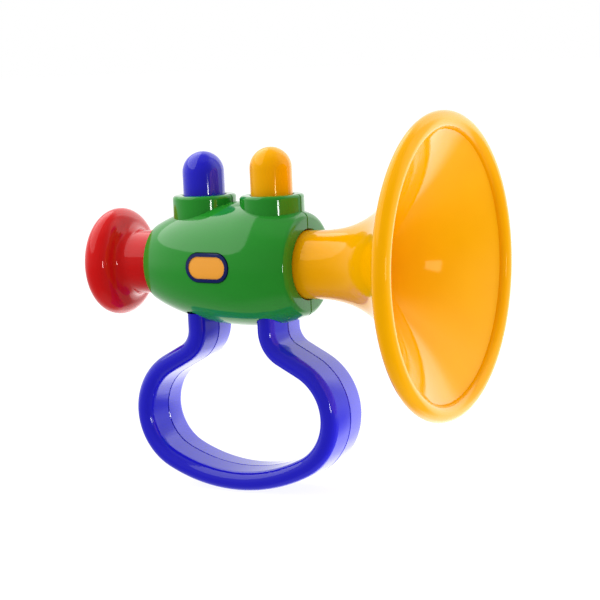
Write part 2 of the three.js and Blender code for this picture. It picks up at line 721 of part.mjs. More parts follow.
// Outline of a strap of the given thickness whose legs end at the given height.
function strapShape(thickness, top) {
  const mirrored = (points) => points.slice(0, -1).reverse().map(([x, z]) => [-x, z]);
  const outer = strapEdge(top, thickness / 2);
  const inner = strapEdge(top, -thickness / 2);
  const points = [...outer, ...mirrored(outer), ...mirrored(inner).reverse(), ...inner.slice().reverse()];
  return new THREE.Shape(points.map(([x, z]) => new THREE.Vector2(x, -z)));
}

// The strap, solid, with all its edges rounded.
function strapSolid() {
  const settings = {
    depth: strapWidth - 2 * strapEdgeRound,
    bevelThickness: strapEdgeRound,
    bevelSize: strapEdgeRound,
    bevelOffset: -strapEdgeRound,
    bevelSegments: strapEdgeSteps,
  };
  const strap = new THREE.ExtrudeGeometry(strapShape(strapThickness, strapTop), settings);
  return solid(strap.rotateX(-Math.PI / 2).translate(0, strapEdgeRound - strapHalf, 0));
}

// The hollow inside the strap, which stops where the legs enter the body.
function strapChannel() {
  const outline = strapShape(strapThickness - 2 * strapWall, -bodyWidest);
  const reach = strapHalf - strapWall;
  const settings = { depth: 2 * reach, bevelEnabled: false };
  return solid(new THREE.ExtrudeGeometry(outline, settings).rotateX(-Math.PI / 2).translate(0, -reach, 0));
}

// Places of the four handle screws, on the strap's middle line: two at the sides, two at the foot.
function strapScrewPlaces() {
  const [, side, foot] = strapRuns();
  const onRun = ({ centre, turn, radius, from, to }, share) => {
    const angle = from + (to - from) * share;
    return [centre[0] - turn * radius * Math.cos(angle), centre[1] - turn * radius * Math.sin(angle)];
  };
  return [onRun(side, sideScrewShare), onRun(foot, footScrewShare)]
    .flatMap(([x, z]) => [[-x, z], [x, z]]);
}

// Both halves of the handle: strap, lugs that the shells' pins pass through, hollow and screw bosses.
function wholeHandle() {
  const lugs = [-legHalf, legHalf].map((along) => rodAlongY(lugRadius, -lugHalfWidth, lugHalfWidth,
    along, lugHeight, holeSteps));
  const eyes = [-legHalf, legHalf].map((along) => rodAlongY(pinRadius + fitGap, -toolReach, toolReach,
    along, lugHeight, holeSteps));
  const places = strapScrewPlaces();
  const strap = strapSolid();
  const bosses = joined(places.map(([x, z]) => rodAlongY(strapBossRadius, -toolReach, toolReach,
    x, z, holeSteps))).intersect(strap);
  const cutters = places.flatMap(([x, z]) => [
    rodAlongY(screwShankRadius + fitGap, -screwBelow - fitGap, strapSeat + overrun, x, z, holeSteps),
    rodAlongY(screwHeadRadius + fitGap, strapSeat, toolReach, x, z, holeSteps),
  ]);
  return cut(strap.subtract(strapChannel()).add(bosses).add(joined(lugs)), [...eyes, ...cutters]);
}

// The blank badge plate, curved like the body and set in its recess.
function badgePlate() {
  return badgePrism(0).intersect(bodyForm(badgeProud)).subtract(bodyForm(fitGap - badgeDepth));
}

const finishes = {
  green: { color: '#1f8f2e', roughness: 0.18, metalness: 0 },
  blue: { color: '#2a26b8', roughness: 0.18, metalness: 0 },
  yellow: { color: '#ffab00', roughness: 0.18, metalness: 0 },
  red: { color: '#c3141b', roughness: 0.18, metalness: 0 },
  badge: { color: '#f2a23a', roughness: 0.3, metalness: 0 },
  bellows: { color: '#f1ede2', roughness: 0.5, metalness: 0 },
  reed: { color: '#d9d9d6', roughness: 0.4, metalness: 0 },
  leaf: { color: '#f6f5f0', roughness: 0.35, metalness: 0 },
  screw: { color: '#b9bcc0', roughness: 0.35, metalness: 1 },
};

const trumpet = new THREE.Group();

// Adds a finished solid to the toy as a named mesh.
function addPiece(name, piece, finish) {
  const { vertProperties, triVerts } = piece.getMesh();
  const geometry = new THREE.BufferGeometry();
  geometry.setAttribute('position', new THREE.BufferAttribute(vertProperties, 3));
  geometry.setIndex(new THREE.BufferAttribute(triVerts, 1));
  geometry.computeVertexNormals();
  const mesh = new THREE.Mesh(geometry, new THREE.MeshStandardMaterial(finishes[finish]));
  mesh.name = name;
  trumpet.add(mesh);
}

const body = wholeBody();
addPiece('front_shell', halfOf(body, -1), 'green');
addPiece('rear_shell', halfOf(body, 1), 'green');
addPiece('badge_plate', badgePlate(), 'badge');
addPiece('bell', bell(), 'yellow');
addPiece('mouthpiece', mouthpiece(), 'red');
addPiece('blue_button', button(-buttonHalf, blueButtonStand), 'blue');
addPiece('yellow_button', button(buttonHalf, yellowButtonStand), 'yellow');
addPiece('blue_button_bellows', bellows(-buttonHalf), 'bellows');
addPiece('yellow_button_bellows', bellows(buttonHalf), 'bellows');
addPiece('blue_button_reed', reedPlug(-buttonHalf), 'reed');
addPiece('yellow_button_reed', reedPlug(buttonHalf), 'reed');
addPiece('bell_click_spring', leafSpring(bellRingMiddle, bellRingRadius, bellLeafHalf), 'leaf');
addPiece('mouthpiece_click_spring', leafSpring(mouthRingMiddle, mouthRingRadius, mouthLeafHalf), 'leaf');

const handle = wholeHandle();
addPiece('handle_front_half', halfOf(handle, -1), 'blue');
addPiece('handle_rear_half', halfOf(handle, 1), 'blue');

bodyScrewPlaces.forEach(([along, height], i) => {
  addPiece(`body_screw_${i + 1}`, screw(along, height, bodySeat), 'screw');
});
strapScrewPlaces().forEach(([along, height], i) => {
  addPiece(`handle_screw_${i + 1}`, screw(along, height, strapSeat), 'screw');
});

// The origin goes under the middle of the toy, at the lowest point of the handle.
const [, , foot] = strapRuns();
const lowest = foot.centre[1] - foot.radius - strapThickness / 2;
const foremost = bellReach + bellLipRadius * Math.cos(Math.asin(bellLipLand / 2 / bellLipRadius));
const rearmost = -mouthReach - mouthLipRadius;
trumpet.position.set(-(foremost + rearmost) / 2, 0, -lowest);

export default trumpet;
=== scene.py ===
"""A toddler's toy trumpet: barrel body with two squeaker buttons, turning bell and mouthpiece, strap handle.

Everything is in metres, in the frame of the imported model: +X runs from the mouthpiece to the bell, +Z up
through the buttons, and the shells and the handle part on the plane y = 0.
"""

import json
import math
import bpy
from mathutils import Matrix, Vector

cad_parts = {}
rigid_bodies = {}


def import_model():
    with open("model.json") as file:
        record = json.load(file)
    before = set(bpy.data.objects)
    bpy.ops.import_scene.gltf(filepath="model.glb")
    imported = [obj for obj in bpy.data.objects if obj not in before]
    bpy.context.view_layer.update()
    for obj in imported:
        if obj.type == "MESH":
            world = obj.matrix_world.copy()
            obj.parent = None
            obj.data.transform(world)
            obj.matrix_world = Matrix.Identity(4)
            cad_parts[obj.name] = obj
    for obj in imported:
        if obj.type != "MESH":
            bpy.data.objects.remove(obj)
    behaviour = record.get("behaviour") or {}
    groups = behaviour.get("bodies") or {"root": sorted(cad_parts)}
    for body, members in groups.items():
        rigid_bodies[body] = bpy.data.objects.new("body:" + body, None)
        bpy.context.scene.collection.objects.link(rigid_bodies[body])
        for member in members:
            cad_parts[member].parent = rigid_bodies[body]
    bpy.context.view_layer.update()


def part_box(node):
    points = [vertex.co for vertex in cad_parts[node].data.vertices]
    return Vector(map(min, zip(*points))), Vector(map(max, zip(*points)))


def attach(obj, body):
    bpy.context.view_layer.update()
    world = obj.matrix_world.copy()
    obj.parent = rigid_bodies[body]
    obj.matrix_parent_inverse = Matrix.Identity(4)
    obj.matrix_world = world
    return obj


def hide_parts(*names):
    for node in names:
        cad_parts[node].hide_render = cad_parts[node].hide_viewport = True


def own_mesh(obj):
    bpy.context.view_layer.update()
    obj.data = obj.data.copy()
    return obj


bl_info = {
    "name": "Toy Trumpet",
    "version": (1, 0, 0),
    "blender": (4, 5, 0),
    "location": "View3D > Sidebar > Trumpet",
    "description": "Models and finishes a toy trumpet with a strap handle, and sets up its photo stage",
    "category": "Add Mesh",
}

import bpy
from bpy.props import FloatProperty, FloatVectorProperty, IntProperty, PointerProperty
from mathutils import Matrix, Vector

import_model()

MM = 0.001
FULL_TURN = 2 * math.pi
RIGHT_ANGLE = math.pi / 2
UP = Vector((0, 0, 1))

# Places read from the frame
FRONT_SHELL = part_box("front_shell")
REAR_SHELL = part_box("rear_shell")
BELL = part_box("bell")
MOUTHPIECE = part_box("mouthpiece")
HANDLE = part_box("handle_rear_half")
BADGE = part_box("badge_plate")
AXIS_Z = (BELL[0].z + BELL[1].z) / 2
SPLIT = REAR_SHELL[0].y
BODY_REAR, BODY_FRONT = FRONT_SHELL[0].x, FRONT_SHELL[1].x
COLLAR_TOP = FRONT_SHELL[1].z
WIDEST = REAR_SHELL[1].y
BUTTONS = ("blue_button", "yellow_button")
BUTTON_X = [(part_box(name)[0].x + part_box(name)[1].x) / 2 for name in BUTTONS]
MIDDLE_X = sum(BUTTON_X) / 2
BUTTON_HALF = (BUTTON_X[1] - BUTTON_X[0]) / 2
BUTTON_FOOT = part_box("blue_button")[0].z
BODY_SCREWS = [f"body_screw_{number}" for number in (1, 2, 3)]
HANDLE_SCREWS = [f"handle_screw_{number}" for number in (1, 2, 3, 4)]

# Clearances, as moulded: between still pieces, and round those that turn or slide
FIT_GAP = 0.3 * MM
TURN_GAP = 0.4 * MM

# The seam between two halves: how much is broken off its edges, its depth, and the gap that is left there
EDGE_BREAK = 0.22 * MM
SEAM_DEPTH = 0.9 * MM
LAND_GAP = 0.02 * MM

# Tools: how far they run past a cut, how far out they reach, and the distance at which corners are one
OVERRUN = 2 * MM
REACH = 200 * MM
WELD = 1e-7
SMOOTH_ANGLE = math.radians(32)

# How much of its own colour the gloss of the warm colours has
WARMTH = {"yellow": 0.7, "red": 0.4}

# Fineness of the turned pieces, and of the profiles and sections that the pieces start from
BODY_STEPS = 224
BELL_STEPS = 240
NECK_STEPS = 160
BUTTON_STEPS = 96
SMALL_STEPS = 48
ARC_STEP = math.radians(6)
BODY_STATIONS = 96
FLARE_STATIONS = 90
FOLD_STATIONS = 12
EDGE_STEPS = 3
STRAP_EDGE_STEPS = 12
SHOULDER_STEPS = 14
SIDE_STEPS = 36
FOOT_STEPS = 16

# Distance over which the walls of a moulding are drawn in
SINK_REACH = 9 * MM


def size(name, description, value):
    """A length that the sidebar shows and a user can change."""
    return FloatProperty(name=name, description=description, default=value, unit="LENGTH", precision=5)


def linear(code):
    """An sRGB hex value as linear red, green and blue."""
    shares = [int(code[i:i + 2], 16) / 255 for i in (1, 3, 5)]
    return [s / 12.92 if s <= 0.04045 else ((s + 0.055) / 1.055) ** 2.4 for s in shares]


def colour(name, description, code):
    """A colour that the sidebar shows and a user can change."""
    return FloatVectorProperty(name=name, description=description, subtype="COLOR", size=3,
                               min=0, max=1, default=linear(code))


class TrumpetBodySizes(bpy.types.PropertyGroup):
    """Sizes of the barrel body, its collars and what stands inside it."""

    radius: size("Radius", "Fullest radius of the body", WIDEST)
    widest_place: size("Widest place", "Fullest place, from midway between the buttons", 5.6 * MM)
    rear_stretch: size("Rear stretch", "Half length of the ellipse towards the mouthpiece", 49.5 * MM)
    front_stretch: size("Front stretch", "Half length of the ellipse towards the bell", 36 * MM)
    end_round: size("End round", "Radius of the edges at both ends", 2.2 * MM)
    wall: size("Wall", "Thickness of the shells", 2.2 * MM)
    end_wall: size("End wall", "Thickness of the two ends", 2.4 * MM)
    collar_radius: size("Collar radius", "Radius of the collars round the buttons", 11.5 * MM)
    collar_round: size("Collar round", "Radius of a collar's top edge", 1.3 * MM)
    collar_cap: size("Collar cap", "Thickness of a collar's top", 2 * MM)
    guide_wall: size("Guide wall", "Thickness of the guides under the collars", 1.6 * MM)
    stop_ledge: size("Stop ledge", "Thickness of the ledge that stops a button", 0.9 * MM)
    shelf_drop: size("Shelf drop", "From the axis down to the shelf under the bellows", 2.5 * MM)
    shelf: size("Shelf", "Thickness of that shelf", 2 * MM)
    rib: size("Rib", "Thickness of the ribs behind the click rings", 1.3 * MM)
    bell_way: size("Bell way", "Radius of the hole in the rib behind the bell", 10.6 * MM)
    mouthpiece_way: size("Mouthpiece way", "Radius of the hole in the rib behind the mouthpiece", 8 * MM)
    pin_radius: size("Pin radius", "Radius of the pins that carry the handle", 2.8 * MM)
    boss_radius: size("Boss radius", "Radius of the screw bosses", 2.9 * MM)
    seat: size("Seat", "Thickness under a screw's head", 2.2 * MM)
    counterbore_wall: size("Counterbore wall", "Wall round a screw's counterbore", 1.3 * MM)


class TrumpetButtonSizes(bpy.types.PropertyGroup):
    """Sizes of the buttons and of the squeakers under them."""

    radius: size("Radius", "Radius of a button's stem and dome", 7.55 * MM)
    wall: size("Wall", "Thickness of a button", 1.8 * MM)
    flange: size("Flange", "Width of the flange at a button's foot", 1.4 * MM)
    flange_height: size("Flange height", "Thickness of that flange", 1.6 * MM)
    bellows_inset: size("Bellows inset", "How much smaller a bellows is in radius", 0.95 * MM)
    fold_depth: size("Fold depth", "Depth of a bellows' folds", 2 * MM)
    folds: IntProperty(name="Folds", description="Folds of a bellows", default=5, min=1, max=12)
    bellows_wall: size("Bellows wall", "Thickness of a bellows", 0.8 * MM)
    neck_radius: size("Neck radius", "Radius of a bellows' neck", 3 * MM)
    reed_hole: size("Reed hole", "Radius of the hole in a reed plug", 0.7 * MM)
    reed_rise: size("Reed rise", "How far a reed plug stands in its neck", 2.4 * MM)


class TrumpetBellSizes(bpy.types.PropertyGroup):
    """Sizes of the bell."""

    radius: size("Radius", "Radius over the lip", min(BELL[1].y, (BELL[1].z - BELL[0].z) / 2))
    lip_radius: size("Lip radius", "Radius of the rounded lip", 3.2 * MM)
    lip_land: size("Lip land", "Width of the flat ring on the front of the lip", 1.2 * MM)
    neck_radius: size("Neck radius", "Radius of the neck", 12.1 * MM)
    neck_show: size("Neck show", "Straight neck outside the body", 0.9 * MM)
    edge_back: size("Edge back", "Where the flare reaches its edge, behind the lip's middle", 1.5 * MM)
    edge_drop: size("Edge drop", "How far that edge is inside the bell's radius", 3 * MM)
    wall: size("Wall", "Thickness of the flare", 2.7 * MM)
    flare: FloatProperty(name="Flare", description="How late the flare opens", default=2.73, min=1)
    hole_radius: size("Hole radius", "Radius of the sound holes in the throat", 1.4 * MM)
    hole_circle: size("Hole circle", "Radius of the circle that the outer holes lie on", 5.4 * MM)
    holes: IntProperty(name="Holes", description="Sound holes round the middle one", default=6, min=1, max=12)
    ring_rise: size("Ring rise", "How far the click ring stands out from the neck", 2.1 * MM)
    teeth: IntProperty(name="Teeth", description="Teeth of the click ring", default=16, min=4, max=48)


class TrumpetMouthpieceSizes(bpy.types.PropertyGroup):
    """Sizes of the mouthpiece."""

    radius: size("Radius", "Radius over the lip", 19.6 * MM)
    lip_radius: size("Lip radius", "Radius of the rounded lip", 5.45 * MM)
    neck_radius: size("Neck radius", "Radius of the neck", 11.5 * MM)
    neck_fillet: size("Neck fillet", "Radius of the hollow between neck and lip", 4 * MM)
    spigot_radius: size("Spigot radius", "Radius of the spigot in the body", 8.6 * MM)
    spigot_wall: size("Spigot wall", "Thickness of that spigot", 2 * MM)
    cup_depth: size("Cup depth", "Depth of the cup", 9 * MM)
    throat: size("Throat", "Radius of the cup's throat", 1.6 * MM)
    throat_length: size("Throat length", "Length of that throat", 2 * MM)
    ring_rise: size("Ring rise", "How far the click ring stands out from the spigot", 1.8 * MM)
    teeth: IntProperty(name="Teeth", description="Teeth of the click ring", default=12, min=4, max=48)


class TrumpetClickSizes(bpy.types.PropertyGroup):
    """Sizes that both click rings and their leaf springs share."""

    ring: size("Ring", "Thickness of a click ring", 2.2 * MM)
    tooth: size("Tooth", "Height of its teeth", 0.8 * MM)
    leaf: size("Leaf", "Thickness of a leaf spring", 0.8 * MM)
    bump: size("Bump", "Half length of the bump of a leaf spring", 1.1 * MM)
    pocket: size("Pocket", "How much of a leaf's end lies in its pocket", 1.6 * MM)
    pocket_wall: size("Pocket wall", "Thickness of a pocket's lips", 0.6 * MM)


class TrumpetHandleSizes(bpy.types.PropertyGroup):
    """Sizes of the strap handle."""

    thickness: size("Thickness", "Thickness of the strap", 7.6 * MM)
    width: size("Width", "Width of the strap", 2 * HANDLE[1].y)
    edge_round: size("Edge round", "Radius of the strap's edges", 3.3 * MM)
    draft: FloatProperty(name="Draft", description="Slope of the strap's sides away from the parting plane",
                         subtype="ANGLE", default=math.radians(2))
    wall: size("Wall", "Thickness of the strap's walls", 2.2 * MM)
    leg_offset: size("Leg offset", "How far outside its button each leg stands", 0.4 * MM)
    leg_rise: size("Leg rise", "How far a leg reaches above the inside of the body's floor", 2.9 * MM)
    leg_show: size("Leg show", "Straight leg below the fullest part of the body", 0.65 * MM)
    shoulder_radius: size("Shoulder radius", "Radius of the outward bend under the body", 10.3 * MM)
    shoulder_turn: FloatProperty(name="Shoulder turn", description="Turn of that bend", subtype="ANGLE",
                                 default=math.radians(61.7))
    shoulder_run: size("Shoulder run", "Straight run after that bend", 8.7 * MM)
    side_radius: size("Side radius", "Radius of the bend at the side", 19.8 * MM)
    side_end: FloatProperty(name="Side end", description="Lean of the strap where its foot begins",
                            subtype="ANGLE", default=math.radians(63.2))
    lug_radius: size("Lug radius", "Radius of the lugs inside the body", 5.2 * MM)
    lug_half_width: size("Lug half width", "Half width of those lugs", 5.5 * MM)
    boss_radius: size("Boss radius", "Radius of the screw bosses", 3.4 * MM)


class TrumpetScrewSizes(bpy.types.PropertyGroup):
    """Sizes of the self-tapping screws."""

    shank: size("Shank", "Radius of the shank", 1.1 * MM)
    thread: size("Thread", "How far the thread stands out", 0.22 * MM)
    pitch: size("Pitch", "Rise of the thread in one turn", 1.1 * MM)
    head: size("Head", "Radius of the head", 2.4 * MM)
    head_height: size("Head height", "Height of the head", 1.7 * MM)
    head_round: size("Head round", "Radius of the head's edge", 0.7 * MM)
    tip: size("Tip", "Length of the point", 1.5 * MM)
    cross_length: size("Cross length", "Length of the cross recess", 2.8 * MM)
    cross_width: size("Cross width", "Width of its slots", 0.7 * MM)
    cross_depth: size("Cross depth", "Depth of its slots", 0.9 * MM)


class TrumpetBadgeSizes(bpy.types.PropertyGroup):
    """Sizes of the badge plate."""

    rim: size("Rim", "Width of the raised rim", 1.2 * MM)
    proud: size("Proud", "How far the rim stands out of the body", 0.4 * MM)
    field_proud: size("Field proud", "How far the field stands out of the body", 0.12 * MM)
    recess: size("Recess", "Depth of the badge's recess in the body", 0.8 * MM)


class TrumpetColours(bpy.types.PropertyGroup):
    """Colours of the mouldings."""

    green: colour("Green", "Body", "#248F29")
    blue: colour("Blue", "Handle and one button", "#201CC8")
    yellow: colour("Yellow", "Bell and one button", "#FFB000")
    red: colour("Red", "Mouthpiece", "#D41414")
    navy: colour("Navy", "Rim of the badge", "#0A1A58")
    orange: colour("Orange", "Field of the badge", "#F8A83C")
    natural: colour("Natural", "Bellows", "#ECE7DA")
    white: colour("White", "Reed plugs and click springs", "#F1F0EA")
    zinc: colour("Zinc", "Screws", "#C4C7CB")


def deselect():
    """Leaves edit mode and deselects every object."""
    if bpy.context.mode != "OBJECT":
        bpy.ops.object.mode_set(mode="OBJECT")
    bpy.ops.object.select_all(action="DESELECT")


def activate(piece):
    """Makes a piece the one object that is selected and active."""
    deselect()
    piece.select_set(True)
    bpy.context.view_layer.objects.active = piece


def select_mesh():
    """Selects all of the mesh in edit mode."""
    bpy.ops.mesh.select_all(action="SELECT")


def edit_all(piece):
    """Opens a piece in edit mode with all of it selected."""
    activate(piece)
    bpy.ops.object.mode_set(mode="EDIT")
    select_mesh()


def pick(piece, wanted):
    """Opens a piece in edit mode with only those corners selected that a test wants."""
    edit_all(piece)
    bpy.ops.mesh.select_all(action="DESELECT")
    bpy.ops.object.mode_set(mode="OBJECT")
    for vertex in piece.data.vertices:
        vertex.select = wanted(vertex)
    bpy.ops.object.mode_set(mode="EDIT")


def shift(move):
    """Moves what is selected."""
    bpy.ops.transform.translate(value=move)


def finish_place():
    """Puts the active object's place into its mesh."""
    bpy.ops.object.transform_apply(location=True, rotation=True, scale=True)


def discard(*pieces):
    """Removes pieces that were only needed on the way."""
    for piece in pieces:
        bpy.data.objects.remove(piece, do_unlink=True)


def named(piece, name):
    """Names a piece and its mesh."""
    piece.name = name
    piece.data.name = name
    return piece


def copied(piece, name):
    """A copy of a piece with its own mesh."""
    twin = piece.copy()
    twin.data = piece.data.copy()
    bpy.context.scene.collection.objects.link(twin)
    return named(twin, name)


def copied_to(piece, name, move):
    """A copy of a piece with its own mesh, moved by a distance."""
    twin = copied(piece, name)
    activate(twin)
    shift(move)
    finish_place()
    return twin


def tidy_mesh():
    """Merges the doubles of the mesh in edit mode, points its faces outwards and leaves edit mode."""
    select_mesh()
    bpy.ops.mesh.remove_doubles(threshold=WELD)
    bpy.ops.mesh.normals_make_consistent(inside=False)
    bpy.ops.object.mode_set(mode="OBJECT")


def extrude(move):
    """Draws out what is selected in edit mode."""
    bpy.ops.mesh.extrude_region_move(TRANSFORM_OT_translate={"value": move})


def turned(name, profile, steps, axis="X", x=0.0):
    """Turns a profile of (along, radius) pairs about the trumpet's axis, or about a line along Y or Z.

    It starts as one corner of a plane, drawn out along the profile and spun all the way round.
    """
    line = Vector([float(axis == letter) for letter in "XYZ"])
    outward = Vector((1, 0, 0)) if axis == "Z" else UP
    centre = Vector((x, 0, AXIS_Z if axis == "X" else 0))
    points = [centre + line * along + outward * radius for along, radius in profile]
    deselect()
    bpy.ops.mesh.primitive_plane_add(size=MM, location=points[0])
    piece = named(bpy.context.object, name)
    finish_place()
    edit_all(piece)
    bpy.ops.mesh.merge(type="CENTER")
    for here, there in zip(points, points[1:]):
        extrude(there - here)
    select_mesh()
    bpy.ops.mesh.spin(steps=steps, angle=FULL_TURN, center=centre, axis=line)
    tidy_mesh()
    return piece


def rod(axis, radius, start, end, centre, steps=SMALL_STEPS):
    """A rod along X, Y or Z between two places, for cutting or joining."""
    middle = Vector(centre)
    middle["XYZ".index(axis)] = (start + end) / 2
    turn = {"X": (0, RIGHT_ANGLE, 0), "Y": (RIGHT_ANGLE, 0, 0), "Z": (0, 0, 0)}[axis]
    deselect()
    bpy.ops.mesh.primitive_cylinder_add(vertices=steps, radius=radius, depth=abs(end - start),
                                        location=middle, rotation=turn)
    finish_place()
    return named(bpy.context.object, "rod")


def block(here, there):
    """A block between two opposite corners, for cutting or joining."""
    here, there = Vector(here), Vector(there)
    deselect()
    bpy.ops.mesh.primitive_cube_add(size=1, location=(here + there) / 2)
    bpy.context.object.scale = [abs(length) for length in there - here]
    finish_place()
    return named(bpy.context.object, "block")


def finish_modifier(piece, modifier):
    """Applies a modifier of a piece."""
    activate(piece)
    bpy.ops.object.modifier_apply(modifier=modifier.name)


def shaped(piece, tools, operation):
    """Cuts tools out of a piece, joins them to it, or keeps what lies inside them, and removes the tools."""
    for tool in tools:
        modifier = piece.modifiers.new(operation.lower(), "BOOLEAN")
        modifier.operation = operation
        modifier.solver = "MANIFOLD"
        modifier.object = tool
        finish_modifier(piece, modifier)
        discard(tool)
    return piece


def joined(tools):
    """Small solids joined into one, so that a fine piece is cut or joined only once."""
    return shaped(tools[0], tools[1:], "UNION")


def rounded(piece, width):
    """Rounds the sharp edges of a piece."""
    modifier = piece.modifiers.new("round", "BEVEL")
    modifier.width = width
    modifier.segments = EDGE_STEPS
    modifier.limit_method = "ANGLE"
    modifier.angle_limit = SMOOTH_ANGLE
    finish_modifier(piece, modifier)


def half_of(whole, outside, name, side):
    """The front (-1) or rear (+1) half of a piece, with the edges of its parting face broken.

    The tool is the outline of the plain outside at the parting plane, drawn out to one side. Its rim
    slopes, and takes off the edge that it crosses. Behind the seam a step brings the two lands together,
    so that no light passes between the halves.
    """
    tool = copied(outside, "parting_tool")
    edit_all(tool)
    bpy.ops.mesh.bisect(plane_co=(0, side * SPLIT, 0), plane_no=(0, 1, 0), use_fill=True, clear_inner=True,
                        clear_outer=True)
    select_mesh()
    margin = EDGE_BREAK / 2
    shift((0, side * (EDGE_BREAK + margin), 0))
    bpy.ops.mesh.inset(thickness=margin, depth=0, use_outset=True)
    shift((0, -side * margin, 0))
    bpy.ops.mesh.inset(thickness=EDGE_BREAK, depth=0)
    shift((0, -side * EDGE_BREAK, 0))
    bpy.ops.mesh.inset(thickness=SEAM_DEPTH, depth=0)
    bpy.ops.mesh.inset(thickness=LAND_GAP, depth=0)
    shift((0, side * (LAND_GAP / 2 - SPLIT), 0))
    select_mesh()
    extrude((0, side * REACH, 0))
    tidy_mesh()
    return shaped(copied(whole, name), [tool], "INTERSECT")


def split_in_two(whole, outside, material, nodes):
    """Parts a piece into its front and rear halves, finishes both and removes what they come from."""
    for node, side in zip(nodes, (-1, 1)):
        complete(half_of(whole, outside, f"{node}_moulding", side), material, "housing", node)
    discard(whole, outside)


def spread(start, end, count):
    """Numbers evenly spread from start to end, both included."""
    return [start + (end - start) * i / count for i in range(count + 1)]


def arc(along, radius, reach, start, end):
    """Points of an arc in a profile: its centre, its radius and its first and last angle."""
    count = max(2, math.ceil(abs(end - start) / ARC_STEP))
    return [(along + reach * math.cos(a), radius + reach * math.sin(a)) for a in spread(start, end, count)]


def sizes_of(group):
    """The sizes or colours of one group of the sidebar."""
    return getattr(bpy.context.scene, f"trumpet_{group}")


def body_radius(x):
    """Radius of the body's outside at a place, before its ends are rounded, and its slope there."""
    sizes = sizes_of("body")
    along = x - MIDDLE_X - sizes.widest_place
    stretch = sizes.rear_stretch if along < 0 else sizes.front_stretch
    radius = sizes.radius * math.sqrt(1 - (along / stretch) ** 2)
    return radius, -along * (sizes.radius / stretch) ** 2 / radius


def body_form(name, outward=0.0):
    """The outside of the body as a solid, moved out by a distance."""
    edge = sizes_of("body").end_round
    (rear_radius, rear_slope), (front_radius, front_slope) = body_radius(BODY_REAR), body_radius(BODY_FRONT)
    rear_tilt, front_tilt = math.atan(rear_slope), math.atan(-front_slope)

    def centre(radius, tilt):
        return radius + edge * (math.tan(tilt) - 1 / math.cos(tilt)) + outward

    rear_round = arc(BODY_REAR + edge, centre(rear_radius, rear_tilt), edge, math.pi, RIGHT_ANGLE + rear_tilt)
    front_round = arc(BODY_FRONT - edge, centre(front_radius, front_tilt), edge, RIGHT_ANGLE - front_tilt, 0)
    middle = spread(rear_round[-1][0], front_round[0][0], BODY_STATIONS)[1:-1]
    wall = [(x, body_radius(x)[0] + outward) for x in middle]
    profile = [(BODY_REAR, 0), *rear_round, *wall, *front_round, (BODY_FRONT, 0)]
    return turned(name, profile, BODY_STEPS)


def bell_ring_radius():
    """Radius over the teeth of the bell's click ring."""
    return sizes_of("bell").neck_radius + sizes_of("bell").ring_rise


def bore_radius():
    """Radius of the bore in which a button's flange slides."""
    return sizes_of("buttons").radius + sizes_of("buttons").flange + TURN_GAP


def bellows_radius():
    """Radius over the folds of a bellows."""
    return sizes_of("buttons").radius - sizes_of("buttons").bellows_inset


def shelf_top():
    """Height of the shelf that carries the bellows."""
    return AXIS_Z - sizes_of("body").shelf_drop


def screw_place(name):
    """Place of a screw along X, its height, and how far behind the split its head's seat lies."""
    low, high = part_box(name)
    return (low.x + high.x) / 2, (low.z + high.z) / 2, high.y - sizes_of("screws").head_height


def screw_holes(names, gap):
    """Cutters for screws: the clearance hole of each shank and the counterbore of each head."""
    sizes = sizes_of("screws")
    tools = []
    for name in names:
        x, z, seat = screw_place(name)
        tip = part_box(name)[0].y - FIT_GAP
        tools.append(rod("Y", sizes.shank + FIT_GAP, tip, seat + OVERRUN, (x, 0, z)))
        tools.append(rod("Y", sizes.head + gap, seat, REACH, (x, 0, z)))
    return tools


def strap_section(name, x, z, growth):
    """The strap's section as a flat face at a height, larger by a distance all round; left in edit mode."""
    sizes = sizes_of("handle")
    deselect()
    bpy.ops.mesh.primitive_plane_add(size=1, location=(x, 0, z))
    bpy.context.object.scale = (sizes.thickness + 2 * growth, sizes.width + 2 * growth, 1)
    finish_place()
    piece = named(bpy.context.object, name)
    edit_all(piece)
    bpy.ops.mesh.bisect(plane_co=(x, 0, z), plane_no=(0, 1, 0))
    pick(piece, lambda vertex: abs(vertex.co.y) > WELD)
    slope = math.tan(sizes.draft) * (sizes.width / 2 + growth) / (sizes.thickness / 2 + growth)
    bpy.ops.transform.resize(value=(1 - slope, 1, 1), center_override=(x, 0, z))
    bpy.ops.mesh.bevel(affect="VERTICES", offset=sizes.edge_round + growth, segments=STRAP_EDGE_STEPS)
    select_mesh()
    return piece


def leg_x(side):
    """Place of the left (-1) or right (+1) leg of the handle."""
    return MIDDLE_X + side * (BUTTON_HALF + sizes_of("handle").leg_offset)


def pin_rods(radius, reach):
    """Rods across the body where its two pins pass through the lugs of the handle."""
    lug_z = HANDLE[1].z - sizes_of("handle").lug_radius
    return [rod("Y", radius, -reach, reach, (leg_x(side), 0, lug_z)) for side in (-1, 1)]


def leg_top():
    """Height at which the strap's legs end inside the body."""
    return AXIS_Z - WIDEST + sizes_of("body").wall + sizes_of("handle").leg_rise


def leg_slot(side):
    """Cutter for the slot in the body's floor that a leg of the handle passes through."""
    slot = strap_section("slot", leg_x(side), leg_top() + OVERRUN, FIT_GAP)
    extrude((0, 0, -WIDEST))
    tidy_mesh()
    return slot


def stadium(name, growth):
    """The badge's outline, larger by a distance all round, from the split out through the body's front."""
    low, high = BADGE
    middle = (low + high) / 2
    prism = named(rod("Y", (high.z - low.z) / 2 + growth, -REACH, -WIDEST / 2, middle, 2 * SMALL_STEPS), name)
    for side in (-1, 1):
        pick(prism, lambda vertex: side * (vertex.co.x - middle.x) > WELD)
        shift((side * (high.x - low.x - high.z + low.z) / 2, 0, 0))
    deselect()
    return prism


